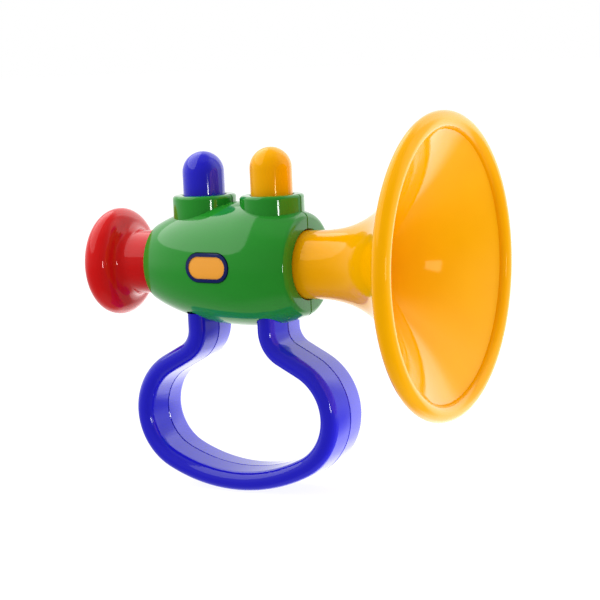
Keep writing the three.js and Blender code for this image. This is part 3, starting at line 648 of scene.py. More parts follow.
def toothed_disc(radius, teeth, start, end):
    """A disc across the trumpet's axis with pointed teeth round it."""
    centre = (start, 0, AXIS_Z)
    deselect()
    bpy.ops.mesh.primitive_circle_add(vertices=2 * teeth, radius=radius, fill_type="NGON", location=centre,
                                      rotation=(0, RIGHT_ANGLE, 0))
    finish_place()
    disc = named(bpy.context.object, "toothed_disc")
    pick(disc, lambda vertex: vertex.index % 2 == 0)
    share = 1 - sizes_of("clicks").tooth / radius
    bpy.ops.transform.resize(value=(1, share, share), center_override=centre)
    select_mesh()
    extrude((end - start, 0, 0))
    tidy_mesh()
    return disc


def leaf_pockets(spring):
    """The two pockets in the rear shell that hold the ends of a leaf spring."""
    sizes = sizes_of("clicks")
    low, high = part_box(spring)
    face = high.y - sizes.leaf - FIT_GAP
    pockets = []
    for side, end in ((-1, low.z), (1, high.z)):
        inner, outer = end - side * sizes.pocket, end + side * FIT_GAP
        pocket = block((low.x - FIT_GAP, face - sizes.pocket_wall, inner),
                       (high.x + FIT_GAP, WIDEST, outer + side * sizes.pocket_wall))
        slot = block((low.x - OVERRUN, face, inner - side * OVERRUN),
                     (high.x + OVERRUN, high.y + FIT_GAP, outer))
        pockets.append(shaped(pocket, [slot], "DIFFERENCE"))
    return pockets


def shell_fittings():
    """What stands inside the shells: ribs, shelf, button guides, screw bosses and leaf pockets."""
    sizes = sizes_of("body")
    axis = (0, 0, AXIS_Z)
    bell_rib, mouth_rib = BELL[0].x - TURN_GAP, MOUTHPIECE[1].x + TURN_GAP
    tools = [block((mouth_rib, -WIDEST, shelf_top() - sizes.shelf), (bell_rib, WIDEST, shelf_top()))]
    for start, way in ((bell_rib - sizes.rib, sizes.bell_way), (mouth_rib, sizes.mouthpiece_way)):
        rib = rod("X", WIDEST, start, start + sizes.rib, axis, NECK_STEPS)
        hole = rod("X", way, start - OVERRUN, start + sizes.rib + OVERRUN, axis, NECK_STEPS)
        tools.append(shaped(rib, [hole], "DIFFERENCE"))
    guide, foot = bore_radius() + sizes.guide_wall, AXIS_Z + bell_ring_radius() + TURN_GAP
    for x in BUTTON_X:
        tools.append(rod("Z", guide, foot, COLLAR_TOP - sizes.collar_cap / 2, (x, 0, 0), BUTTON_STEPS))
    counterbore = sizes_of("screws").head + TURN_GAP + sizes.counterbore_wall
    for name in BODY_SCREWS:
        x, z, seat = screw_place(name)
        tools.append(rod("Y", sizes.boss_radius, -WIDEST, seat, (x, 0, z)))
        tools.append(rod("Y", counterbore, seat - sizes.seat, WIDEST, (x, 0, z)))
    tools += leaf_pockets("bell_click_spring") + leaf_pockets("mouthpiece_click_spring")
    return joined(tools)


def button_cutters(x):
    """Cutters for a button: its eased hole in the collar, its flange's bore, and the bellows' two ways."""
    sizes, buttons = sizes_of("body"), sizes_of("buttons")
    hole, top = buttons.radius + TURN_GAP, COLLAR_TOP + OVERRUN
    stop = AXIS_Z + bell_ring_radius() + TURN_GAP + sizes.stop_ledge
    mouth = arc(COLLAR_TOP - EDGE_BREAK, hole + EDGE_BREAK, EDGE_BREAK, 3 * RIGHT_ANGLE, FULL_TURN)
    eased = [(stop, 0), (stop, hole), *mouth, (top, hole + EDGE_BREAK), (top, 0)]
    place, shelf = (x, 0, 0), shelf_top()
    return [turned("hole", eased, BUTTON_STEPS, "Z", x),
            rod("Z", bore_radius(), stop, COLLAR_TOP - sizes.collar_cap, place, BUTTON_STEPS),
            rod("Z", bellows_radius() + TURN_GAP, stop - OVERRUN, stop + OVERRUN, place, BUTTON_STEPS),
            rod("Z", buttons.neck_radius + FIT_GAP, shelf - sizes.shelf - OVERRUN, shelf + OVERRUN, place)]


def neck_cutter(neck, inside, outside):
    """Cutter for the hole of a neck in an end of the body, with an eased edge on the outside."""
    radius = neck + TURN_GAP
    way = math.copysign(1, outside - inside)
    edge = [(outside + way * (r - radius - EDGE_BREAK), r) for r in (radius, radius + EDGE_BREAK + OVERRUN)]
    return turned("neck_hole", [(inside, 0), (inside, radius), *edge, (edge[-1][0], 0)], NECK_STEPS)


class TRUMPET_OT_body(bpy.types.Operator):
    """Model the two green shells of the body with their collars, slots, recesses and fittings"""

    bl_idname = "trumpet.body"
    bl_label = "Body shells"

    def execute(self, context):
        scene = context.scene
        sizes = scene.trumpet_body
        outside = body_form("body")
        edge, radius = sizes.collar_round, sizes.collar_radius
        top = arc(COLLAR_TOP - edge, radius - edge, edge, RIGHT_ANGLE, 0)
        collar = [(AXIS_Z, 0), (AXIS_Z, radius), *top, (COLLAR_TOP, 0)]
        for x in BUTTON_X:
            shaped(outside, [turned("collar", collar, NECK_STEPS, "Z", x)], "UNION")
        rear, front = BODY_REAR + sizes.end_wall, BODY_FRONT - sizes.end_wall
        room = [(x, body_radius(x)[0] - sizes.wall) for x in spread(rear, front, SMALL_STEPS)]
        whole = copied(outside, "shells")
        shaped(whole, [turned("room", [(rear, 0), *room, (front, 0)], NECK_STEPS)], "DIFFERENCE")
        fittings = shaped(shell_fittings(), [body_form("inside", -sizes.wall / 2)], "INTERSECT")
        shaped(whole, [fittings], "UNION")
        recess = stadium("recess", FIT_GAP)
        shaped(recess, [body_form("floor", -scene.trumpet_badge.recess)], "DIFFERENCE")
        cutters = [neck_cutter(scene.trumpet_bell.neck_radius, front - TURN_GAP, BODY_FRONT),
                   neck_cutter(scene.trumpet_mouthpiece.spigot_radius, rear + TURN_GAP, BODY_REAR),
                   leg_slot(-1), leg_slot(1), *screw_holes(BODY_SCREWS, TURN_GAP)]
        for x in BUTTON_X:
            cutters += button_cutters(x)
        shaped(whole, [joined(cutters), recess], "DIFFERENCE")
        pins = joined(pin_rods(sizes.pin_radius, WIDEST))
        shaped(whole, [shaped(pins, [body_form("inside", -sizes.wall / 2)], "INTERSECT")], "UNION")
        split_in_two(whole, outside, gloss_abs("green"), ("front_shell", "rear_shell"))
        return {"FINISHED"}


class TRUMPET_OT_badge(bpy.types.Operator):
    """Model the blank badge: a recessed orange field in a raised navy rim"""

    bl_idname = "trumpet.badge"
    bl_label = "Badge"

    def execute(self, context):
        sizes = context.scene.trumpet_badge
        rim, field = stadium("badge_rim", 0), stadium("badge_field", -sizes.rim)
        shaped(rim, [copied(field, "middle")], "DIFFERENCE")
        for piece, proud, tone in ((rim, sizes.proud, "navy"), (field, sizes.field_proud, "orange")):
            shaped(piece, [body_form("top", proud)], "INTERSECT")
            shaped(piece, [body_form("seat", FIT_GAP - sizes.recess)], "DIFFERENCE")
            complete(piece, gloss_abs(tone), "housing", "badge_plate")
        return {"FINISHED"}


class TRUMPET_OT_bell(bpy.types.Operator):
    """Model the yellow bell with its flare, rounded lip, click teeth and pierced throat"""

    bl_idname = "trumpet.bell"
    bl_label = "Bell"

    def execute(self, context):
        sizes = context.scene.trumpet_bell
        neck, lip_radius = sizes.neck_radius, sizes.lip_radius
        ring_back = BELL[0].x
        ring_front = ring_back + context.scene.trumpet_clicks.ring
        flare_start = BODY_FRONT + sizes.neck_show
        half_land = math.asin(sizes.lip_land / 2 / lip_radius)
        lip_x = BELL[1].x - lip_radius * math.cos(half_land)
        flare_edge = lip_x - sizes.edge_back
        lip_centre = sizes.radius - lip_radius

        def radius(x):
            share = max(x - flare_start, 0) / (flare_edge - flare_start)
            return neck + (sizes.radius - sizes.edge_drop - neck) * share ** sizes.flare

        def surface(inward):
            points = []
            for x in spread(flare_start, flare_edge + lip_radius, FLARE_STATIONS):
                rise = (radius(x + WELD) - radius(x - WELD)) / (2 * WELD)
                length = math.hypot(1, rise)
                point = (x + inward * rise / length, radius(x) - inward / length)
                if point[1] < lip_centre and math.dist(point, (lip_x, lip_centre)) > lip_radius:
                    points.append(point)
            return points

        def angle_to(point):
            return math.atan2(point[1] - lip_centre, point[0] - lip_x)

        outer, inner = surface(0), surface(sizes.wall)[::-1]
        back, face = angle_to(outer[-1]) + FULL_TURN, angle_to(inner[0])
        lip = arc(lip_x, lip_centre, lip_radius, min(back, 3 * RIGHT_ANGLE), half_land)
        lip += arc(lip_x, lip_centre, lip_radius, -half_land, max(face, -RIGHT_ANGLE))
        profile = [(ring_back, neck), *outer, *lip, *inner, (ring_back, neck - sizes.wall), (ring_back, neck)]
        bell = turned("bell_moulding", profile, BELL_STEPS)
        shaped(bell, [toothed_disc(bell_ring_radius(), sizes.teeth, ring_back, ring_front)], "UNION")
        places = [(0, 0)] + [(math.cos(a), math.sin(a)) for a in spread(0, FULL_TURN, sizes.holes)[1:]]
        holes = [rod("X", sizes.hole_radius, ring_back - OVERRUN, ring_front + OVERRUN,
                     (0, sizes.hole_circle * y, AXIS_Z + sizes.hole_circle * z)) for y, z in places]
        shaped(bell, holes, "DIFFERENCE")
        complete(bell, gloss_abs("yellow"), "bell", "bell")
        return {"FINISHED"}


class TRUMPET_OT_mouthpiece(bpy.types.Operator):
    """Model the red mouthpiece with its fat lip, cup and click teeth"""

    bl_idname = "trumpet.mouthpiece"
    bl_label = "Mouthpiece"

    def execute(self, context):
        sizes = context.scene.trumpet_mouthpiece
        lip_radius, hollow = sizes.lip_radius, sizes.neck_fillet
        throat, spigot, neck = sizes.throat, sizes.spigot_radius, sizes.neck_radius
        lip_x = MOUTHPIECE[0].x + lip_radius
        lip_centre = sizes.radius - lip_radius
        rise = neck + hollow - lip_centre
        run = math.sqrt((lip_radius + hollow) ** 2 - rise ** 2)
        meet = math.atan2(rise, run)
        fillet = arc(lip_x + run, neck + hollow, hollow, 3 * RIGHT_ANGLE, math.pi + meet)
        lip = arc(lip_x, lip_centre, lip_radius, meet, 3 * RIGHT_ANGLE)
        cup_width = lip_centre - lip_radius - throat
        cup = [(lip_x + sizes.cup_depth * math.sin(a), throat + cup_width * math.cos(a))
               for a in spread(0, RIGHT_ANGLE, SMALL_STEPS // 2)][1:]
        bore = spigot - sizes.spigot_wall
        shoulder = BODY_REAR - TURN_GAP
        ring_back = MOUTHPIECE[1].x
        ring_front = ring_back - context.scene.trumpet_clicks.ring
        throat_end = lip_x + sizes.cup_depth + sizes.throat_length
        profile = [(ring_back, spigot), (shoulder, spigot), (shoulder, neck), *fillet, *lip[1:], *cup,
                   (throat_end, throat), (throat_end + sizes.throat_length, bore), (ring_back, bore),
                   (ring_back, spigot)]
        mouthpiece = turned("mouthpiece_moulding", profile, NECK_STEPS)
        ring = toothed_disc(spigot + sizes.ring_rise, sizes.teeth, ring_front, ring_back)
        inside = bore + sizes.spigot_wall / 2
        hole = rod("X", inside, ring_front - OVERRUN, ring_back + OVERRUN, (0, 0, AXIS_Z), NECK_STEPS)
        shaped(mouthpiece, [shaped(ring, [hole], "DIFFERENCE")], "UNION")
        complete(mouthpiece, gloss_abs("red"), "mouthpiece", "mouthpiece")
        return {"FINISHED"}


class TRUMPET_OT_buttons(bpy.types.Operator):
    """Model the two dome buttons with their flanges"""

    bl_idname = "trumpet.buttons"
    bl_label = "Buttons"

    def execute(self, context):
        sizes = context.scene.trumpet_buttons
        radius, hollow, flange = sizes.radius, sizes.radius - sizes.wall, sizes.radius + sizes.flange
        finishes = (("blue", gloss_abs("blue")), ("button_yellow", gloss_abs("yellow")))
        for name, x, (slot, finish) in zip(BUTTONS, BUTTON_X, finishes):
            low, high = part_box(name)
            dome, ledge = high.z - radius, low.z + sizes.flange_height
            profile = [*arc(dome, 0, radius, 0, RIGHT_ANGLE), (ledge, radius), (ledge, flange),
                       (low.z, flange), (low.z, hollow), *arc(dome, 0, hollow, RIGHT_ANGLE, 0)]
            button = turned(f"{name}_moulding", profile, BUTTON_STEPS, "Z", x)
            complete(button, finish, name, name)
        return {"FINISHED"}


class TRUMPET_OT_squeakers(bpy.types.Operator):
    """Model the folded bellows under the buttons and the reed plugs in their feet"""

    bl_idname = "trumpet.squeakers"
    bl_label = "Squeakers"

    def execute(self, context):
        sizes = context.scene.trumpet_buttons
        foot, top, neck_end = shelf_top() + FIT_GAP, BUTTON_FOOT - FIT_GAP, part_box("blue_button_bellows")[0].z
        reed_low, reed_high = (corner.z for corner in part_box("blue_button_reed"))
        wall, neck, hole = sizes.bellows_wall, sizes.neck_radius, sizes.reed_hole

        def folds(inward):
            points = []
            for height in spread(top - inward, foot + inward, FOLD_STATIONS * sizes.folds):
                turn = FULL_TURN * sizes.folds * (top - inward - height) / (top - foot - 2 * inward)
                depth = sizes.fold_depth * (1 - math.cos(turn)) / 2
                points.append((height, bellows_radius() - inward - depth))
            return points

        profile = [(top, 0), *folds(0), (foot, neck), (neck_end, neck), (neck_end, neck - wall),
                   (foot + wall, neck - wall), *folds(wall)[::-1], (top - wall, 0)]
        bellows = turned("bellows", profile, SMALL_STEPS, "Z")
        stem, seat = neck - wall - FIT_GAP, reed_high - sizes.reed_rise
        profile = [(reed_high, hole), (reed_high, stem), (seat, stem), (seat, neck), (reed_low, neck),
                   (reed_low, hole), (reed_high, hole)]
        reed = turned("reed", profile, SMALL_STEPS, "Z")
        milky, white = soft_polyethylene(), waxy_plastic("moulded_polystyrene", (0.22, 0.34))
        for name, x in zip(BUTTONS, BUTTON_X):
            twin = copied_to(bellows, f"{name}_bellows_moulding", (x, 0, 0))
            complete(twin, milky, "housing", f"{name}_bellows")
            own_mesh(twin)
            twin = copied_to(reed, f"{name}_reed_plug", (x, 0, 0))
            complete(twin, white, "housing", f"{name}_reed")
        discard(bellows, reed)
        return {"FINISHED"}


class TRUMPET_OT_clicks(bpy.types.Operator):
    """Model the leaf springs that click on the teeth of the bell and the mouthpiece"""

    bl_idname = "trumpet.clicks"
    bl_label = "Click springs"

    def execute(self, context):
        sizes = context.scene.trumpet_clicks
        white = waxy_plastic("moulded_acetal", (0.3, 0.42))
        for node in ("bell_click_spring", "mouthpiece_click_spring"):
            low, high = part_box(node)
            face = high.y - sizes.leaf
            rise = face - low.y
            bend = (sizes.bump ** 2 + rise ** 2) / (2 * rise)
            bump = rod("X", bend, low.x, high.x, (0, low.y + bend, AXIS_Z), 2 * SMALL_STEPS)
            keep = block((low.x - OVERRUN, low.y - OVERRUN, AXIS_Z - 2 * sizes.bump),
                         (high.x + OVERRUN, high.y - WELD, AXIS_Z + 2 * sizes.bump))
            shaped(bump, [keep], "INTERSECT")
            spring = named(block((low.x, face, low.z), high), f"{node}_leaf")
            rounded(spring, EDGE_BREAK / 2)
            shaped(spring, [bump], "UNION")
            complete(spring, white, "housing", node)
        return {"FINISHED"}


def strap_form(name, growth, top):
    """The whole strap, larger by a distance all round, with its legs ending at a height.

    The section of the right leg is drawn down and spun round each bend to the middle of the foot, and
    the left side is its mirror image.
    """
    sizes = sizes_of("handle")
    turn, end = sizes.shoulder_turn, sizes.side_end
    leg_end = AXIS_Z - WIDEST - sizes.leg_show
    x = leg_x(1)
    whole = strap_section(name, x, top, growth)
    extrude((0, 0, leg_end - top))
    shoulder = Vector((x + sizes.shoulder_radius, 0, leg_end))
    bpy.ops.mesh.spin(steps=SHOULDER_STEPS, angle=turn, center=shoulder, axis=(0, 1, 0))
    outward, down = Vector((math.cos(turn), 0, math.sin(turn))), Vector((math.sin(turn), 0, -math.cos(turn)))
    extrude(down * sizes.shoulder_run)
    side = shoulder - outward * (sizes.shoulder_radius + sizes.side_radius) + down * sizes.shoulder_run
    bpy.ops.mesh.spin(steps=SIDE_STEPS, angle=turn + end, center=side, axis=(0, -1, 0))
    lean = Vector((math.cos(end), 0, -math.sin(end)))
    foot = side - lean * ((side.x - MIDDLE_X) / lean.x)
    bpy.ops.mesh.spin(steps=FOOT_STEPS, angle=RIGHT_ANGLE - end, center=foot, axis=(0, -1, 0))
    bpy.ops.mesh.delete(type="ONLY_FACE")
    select_mesh()
    bpy.ops.mesh.duplicate()
    bpy.ops.transform.resize(value=(-1, 1, 1), center_override=(MIDDLE_X, 0, 0))
    tidy_mesh()
    return whole


class TRUMPET_OT_handle(bpy.types.Operator):
    """Model the hollow strap handle as two halves, with the lugs that hold it in the body"""

    bl_idname = "trumpet.handle"
    bl_label = "Handle"

    def execute(self, context):
        scene = context.scene
        sizes = scene.trumpet_handle
        outside = strap_form("handle", 0, leg_top())
        whole = copied(outside, "strap")
        shaped(whole, [strap_form("hollow", -sizes.wall, AXIS_Z - WIDEST)], "DIFFERENCE")
        bosses = []
        reach = HANDLE[1].y - OVERRUN / 2
        for name in HANDLE_SCREWS:
            x, z, _ = screw_place(name)
            bosses.append(rod("Y", sizes.boss_radius, -reach, reach, (x, 0, z)))
        bosses = shaped(joined(bosses), [copied(outside, "keep")], "INTERSECT")
        shaped(outside, pin_rods(sizes.lug_radius, sizes.lug_half_width), "UNION")
        shaped(whole, [bosses, *pin_rods(sizes.lug_radius, sizes.lug_half_width)], "UNION")
        eyes = pin_rods(scene.trumpet_body.pin_radius + FIT_GAP, REACH)
        shaped(whole, [joined(eyes + screw_holes(HANDLE_SCREWS, FIT_GAP))], "DIFFERENCE")
        split_in_two(whole, outside, gloss_abs("blue"), ("handle_front_half", "handle_rear_half"))
        return {"FINISHED"}


class TRUMPET_OT_screws(bpy.types.Operator):
    """Model one self-tapping screw of each length, and set a copy in every counterbore"""

    bl_idname = "trumpet.screws"
    bl_label = "Screws"

    def execute(self, context):
        sizes = context.scene.trumpet_screws
        half_long, half_wide, edge_round = sizes.cross_length / 2, sizes.cross_width / 2, sizes.head_round
        for names in (BODY_SCREWS, HANDLE_SCREWS):
            tip, top = (corner.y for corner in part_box(names[0]))
            foot = top - sizes.head_height + FIT_GAP
            turns = int((foot - tip - sizes.tip) / sizes.pitch)
            thread = [(tip + sizes.tip + i * sizes.pitch / 2, sizes.shank + (i % 2) * sizes.thread)
                      for i in range(2 * turns)]
            edge = arc(top - edge_round, sizes.head - edge_round, edge_round, RIGHT_ANGLE, 0)
            profile = [(tip, 0), *thread, (foot, sizes.shank), (foot, sizes.head), *edge, (top, 0)]
            screw = turned("screw", profile, SMALL_STEPS, "Y")
            slots = [block((-wide, top - sizes.cross_depth, -tall), (wide, top + OVERRUN, tall))
                     for wide, tall in ((half_long, half_wide), (half_wide, half_long))]
            shaped(screw, [joined(slots)], "DIFFERENCE")
            for name in names:
                x, z, _ = screw_place(name)
                twin = copied_to(screw, f"{name}_fastener", (x, 0, z))
                complete(twin, zinc_plate(), "housing", name)
            discard(screw)
        return {"FINISHED"}


# Sockets of a Mix node for colours: the share of the second colour, both colours, and the result
SHARE, FIRST, SECOND, MIXED = 0, 6, 7, 2


def grey(level):
    """A colour as bright as a level, without a hue."""
    return level, level, level, 1


def add_node(tree, kind, links=None, values=None, **settings):
    """Adds a node to a tree, with its settings and the links and values on its sockets.

    A link starts at a socket, or at a node, whose first output it then takes.
    """
    node = tree.nodes.new(kind)
    for name, value in settings.items():
        setattr(node, name, value)
    for socket, value in (values or {}).items():
        node.inputs[socket].default_value = value
    for socket, source in (links or {}).items():
        tree.links.new(getattr(source, "outputs", [source])[0], node.inputs[socket])
    return node


def empty_tree(holder):
    """The node tree of a material or world, without its nodes."""
    holder.use_nodes = True
    holder.node_tree.nodes.clear()
    return holder.node_tree


def skin(name, tone, settings, flow, drift, patch, detail, rough, sink=0.0):
    """A material whose colour drifts over a distance by a share, and whose polish varies in patches.

    A wall that is drawn in by some depth over the distance SINK_REACH also wavers in its reflections.
    """
    if name in bpy.data.materials:
        return bpy.data.materials[name]
    pigment = getattr(sizes_of("colours"), tone)
    material = bpy.data.materials.new(name)
    tree = empty_tree(material)
    places = {"Vector": add_node(tree, "ShaderNodeTexCoord").outputs["Object"]}
    cloud = add_node(tree, "ShaderNodeTexNoise", places, {"Scale": 1 / flow, "Detail": 3})
    tint = [min(1, c * (1 + drift)) for c in pigment]
    shade = [c * (1 - drift) for c in pigment]
    base = add_node(tree, "ShaderNodeMix", {SHARE: cloud}, {FIRST: (*shade, 1), SECOND: (*tint, 1)},
                    data_type="RGBA")
    polish = add_node(tree, "ShaderNodeTexNoise", places, {"Scale": 1 / patch, "Detail": detail})
    polish = add_node(tree, "ShaderNodeMapRange", {"Value": polish}, {"To Min": rough[0], "To Max": rough[1]})
    links = {"Base Color": base.outputs[MIXED], "Roughness": polish}
    if sink:
        waver = add_node(tree, "ShaderNodeTexNoise", places, {"Scale": 1 / SINK_REACH, "Detail": 1})
        waver = add_node(tree, "ShaderNodeBump", {"Height": waver}, {"Strength": 1, "Distance": sink})
        links["Normal"] = waver
    shader = add_node(tree, "ShaderNodeBsdfPrincipled", links, settings)
    add_node(tree, "ShaderNodeOutputMaterial", {"Surface": shader})
    return material


def gloss_abs(tone):
    """Injection-moulded ABS, pigmented through, from a polished mould.

    A clear sharp gloss over an even colour. The pigment drifts slightly along the flow, the polish varies
    a little, and the wall is drawn in by hundredths of a millimetre, so that reflections are crisp but
    their edges waver. In the warm colours the gloss takes on some of the colour of the pigment.
    """
    gloss = [1 - WARMTH.get(tone, 0) * (1 - c) for c in getattr(sizes_of("colours"), tone)]
    return skin(f"moulded_abs_{tone}", tone, {"IOR": 1.53, "Specular Tint": (*gloss, 1)}, flow=14 * MM,
                drift=0.06, patch=5 * MM, detail=4, rough=(0.05, 0.1), sink=0.02 * MM)


def waxy_plastic(name, rough):
    """Small white mouldings left as they come from the mould: an even satin skin with faint grain.

    The grain is drawn coarser than the real one, so that it shows.
    """
    return skin(name, "white", {"IOR": 1.48}, flow=4 * MM, drift=0.04, patch=0.5 * MM, detail=3, rough=rough)


def soft_polyethylene():
    """Blown low-density polyethylene: milky, light glows a little way through its thin wall, dull sheen.

    The fine texture of its skin is drawn coarser than the real one, so that it shows.
    """
    settings = {"IOR": 1.51, "Subsurface Weight": 0.3, "Subsurface Scale": MM}
    return skin("blown_polyethylene", "natural", settings, flow=3 * MM, drift=0.05, patch=0.8 * MM, detail=3,
                rough=(0.38, 0.52))


def zinc_plate():
    """Zinc-plated steel: a bright grey metal, clouded where the plating grew thicker."""
    return skin("zinc_plated_steel", "zinc", {"Metallic": 1}, flow=0.9 * MM, drift=0.1, patch=0.4 * MM,
                detail=4, rough=(0.22, 0.42))


def complete(piece, material, body, node):
    """Finishes a piece: its material, its shading, its body and the node that it stands for."""
    piece.data.materials.clear()
    piece.data.materials.append(material)
    activate(piece)
    bpy.ops.object.shade_smooth_by_angle(angle=SMOOTH_ANGLE)
    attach(piece, body)
    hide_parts(node)


# The camera. Azimuths run round the toy from -Y towards +X. Sensor and lens are in millimetres.
CAMERA_AZIMUTH = math.radians(28.82)
CAMERA_ELEVATION = math.radians(7.668)
CAMERA_ROLL = math.radians(-2.529)
CAMERA_DISTANCE = 690.75 * MM
CAMERA_TARGET = Vector((10.044, 0, 68.718)) * MM
SENSOR_WIDTH = 36
LENS = 117.48

# The floor: a light table
FLOOR_SIZE = 16
FLOOR_GREY = 0.2
FLOOR_GLOW = 0.92

# The studio that the gloss mirrors: radiance of its walls, above and below the toy, by the angle to the
# right of the camera, the heights between which the two rings and then the ceiling blend in, as sines
WALLS_ABOVE = ((-180, 1.2), (-135, 1.1), (-105, 0.8), (-80, 0.45), (-50, 0.25), (0, 0.14), (30, 0.16),
               (50, 0.3), (75, 1.1), (95, 1.4), (113, 0.9), (119, 1.0), (127, 2.2), (150, 1.7), (180, 1.2))
WALLS_BELOW = ((-180, 1.8), (-150, 0.9), (-125, 0.5), (-100, 0.3), (-70, 0.15), (0, 0.1), (60, 0.15),
               (90, 0.4), (116, 0.4), (127, 1.9), (140, 2), (160, 2.6), (180, 1.8))
WALL_BLEND = {"From Min": -0.3, "From Max": 0.1}
CEILING_BLEND = {"From Min": 0.78, "From Max": 0.97}
RADIANCE_SCALE = 3
CEILING = 0.4

# The light that the dull skins get: direction (towards the camera, right, up) and strength of each card
FILL_CARDS = (((0, 1, 0), 0.9), ((0, -1, 0), 0.8), ((0, 0, 1), 0.85), ((0, 0, -1), 0.62),
              ((0, 1, -1), 0.57), ((-1, 0, 0), 0.14))

# The softbox: its height, and as shares of that its sides and where the middle of its right edge lies.
# The edge and the way it runs are given towards the camera and to the right.
SOFTBOX_HEIGHT = 600 * MM
SOFTBOX_LENGTH = 3.6
SOFTBOX_WIDTH = 1.9
SOFTBOX_EDGE = (0.669, -0.743)
SOFTBOX_WAY = (-0.76, 0.65)
SOFTBOX_RADIANCE = 1.05

# The lamps: name, azimuth and elevation in degrees, distance, width, height, radiance, whether soft, and
# which pieces it lights
LAMPS = (
    ("right_lamp", 51, -3, 360 * MM, 26 * MM, 66 * MM, 26, False, lambda name: name != "bell_moulding"),
    ("bell_lamp", 75, 1, 400 * MM, 80 * MM, 60 * MM, 4, False, None),
    ("bell_card", 70, 0, 500 * MM, 300 * MM, 300 * MM, 0.8, True, lambda name: name == "bell_moulding"),
    ("handle_card", 105, -8, 400 * MM, 300 * MM, 300 * MM, 4, True, lambda name: name.startswith("handle")),
)


def direction(azimuth, elevation=0.0):
    """The direction from the toy at an azimuth and an elevation."""
    level = Vector((math.sin(azimuth), -math.cos(azimuth), 0))
    return level * math.cos(elevation) + UP * math.sin(elevation)


def lay_floor():
    """A plain pale light table under the toy, wide enough to run past the horizon.

    It is lit from beneath, so the toy throws next to no shadow on it, and the gloss doesn't mirror it.
    """
    deselect()
    bpy.ops.mesh.primitive_plane_add(size=FLOOR_SIZE)
    floor = named(bpy.context.object, "floor")
    floor.visible_glossy = False
    floor.visible_diffuse = False
    material = bpy.data.materials.new("light_table")
    tree = empty_tree(material)
    paper = add_node(tree, "ShaderNodeBsdfDiffuse", None, {"Color": grey(FLOOR_GREY)})
    glow = add_node(tree, "ShaderNodeEmission", None, {"Color": grey(1), "Strength": FLOOR_GLOW})
    both = add_node(tree, "ShaderNodeAddShader", {0: paper, 1: glow})
    add_node(tree, "ShaderNodeOutputMaterial", {"Surface": both})
    floor.data.materials.append(material)


def place_camera():
    """The camera at the angle from which the toy is seen."""
    back, right = direction(CAMERA_AZIMUTH, CAMERA_ELEVATION), direction(CAMERA_AZIMUTH + RIGHT_ANGLE)
    up = back.cross(right)
    across = right * math.cos(CAMERA_ROLL) + up * math.sin(CAMERA_ROLL)
    upward = up * math.cos(CAMERA_ROLL) - right * math.sin(CAMERA_ROLL)
    place = Matrix((across, upward, back)).transposed().to_4x4()
    place.translation = CAMERA_TARGET + back * CAMERA_DISTANCE
    bpy.ops.object.camera_add()
    camera = bpy.context.object
    camera.name = "camera"
    camera.matrix_world = place
    camera.data.sensor_width = SENSOR_WIDTH
    camera.data.lens = LENS
    bpy.context.scene.camera = camera


def add_panel(name, axes, place, width, height, radiance, shape="RECTANGLE"):
    """A light panel at a place, with its sides along two axes, shining against the third."""
    deselect()
    bpy.ops.object.light_add(type="AREA")
    panel = bpy.context.object
    panel.name = name
    panel.matrix_world = Matrix.Translation(place) @ Matrix(axes).transposed().to_4x4()
    panel.data.shape = shape
    panel.data.size, panel.data.size_y = width, height
    panel.data.energy = radiance * math.pi * width * height
    panel.visible_camera = False
    return panel


def hang_lamp(name, azimuth, elevation, distance, width, height, radiance, soft, lights):
    """A lamp at a direction in degrees and a distance from the middle of the body.

    A hard one only shows in the gloss, and a soft one only lights the dull skins. A lamp shines on the
    pieces whose names pass its test, and past all others.
    """
    azimuth, elevation = math.radians(azimuth), math.radians(elevation)
    back, right = direction(azimuth, elevation), direction(azimuth + RIGHT_ANGLE)
    place = Vector((MIDDLE_X, 0, AXIS_Z)) + back * distance
    lamp = add_panel(name, (right, back.cross(right), back), place, width, height, radiance)
    lamp.visible_diffuse = soft
    lamp.visible_glossy = not soft
    if lights:
        lit = bpy.data.collections.new(f"{name}_lit")
        for piece in bpy.context.scene.objects:
            if piece.type == "MESH" and lights(piece.name):
                lit.objects.link(piece)
        lamp.light_linking.receiver_collection = lit
        lamp.light_linking.blocker_collection = lit


def add_walls(tree, turn, rise):
    """The radiance of both rings of walls: it changes round the toy, and blends from one to the other."""
    rings = []
    for stops in (WALLS_BELOW, WALLS_ABOVE):
        ring = add_node(tree, "ShaderNodeValToRGB", {"Fac": turn})
        elements = ring.color_ramp.elements
        elements.remove(elements[1])
        for i, (degrees, radiance) in enumerate(stops):
            element = elements.new(degrees / 360 + 0.5) if i else elements[0]
            element.position = degrees / 360 + 0.5
            element.color = grey(radiance / RADIANCE_SCALE)
        rings.append(ring)
    links = {SHARE: rise, FIRST: rings[0], SECOND: rings[1]}
    return add_node(tree, "ShaderNodeMix", links, data_type="RGBA").outputs[MIXED]


def add_fill(tree, place, forward, right):
    """The strength of all fill cards together in a direction: each fades out at a right angle to it."""
    total = None
    for (ahead, aside, above), strength in FILL_CARDS:
        card = (forward * ahead + right * aside + UP * above).normalized()
        facing = add_node(tree, "ShaderNodeVectorMath", {0: place}, {1: card}, operation="DOT_PRODUCT")
        light = add_node(tree, "ShaderNodeMapRange", {"Value": facing.outputs["Value"]}, {"To Max": strength})
        total = add_node(tree, "ShaderNodeMath", {0: total, 1: light}, operation="ADD") if total else light
    return total


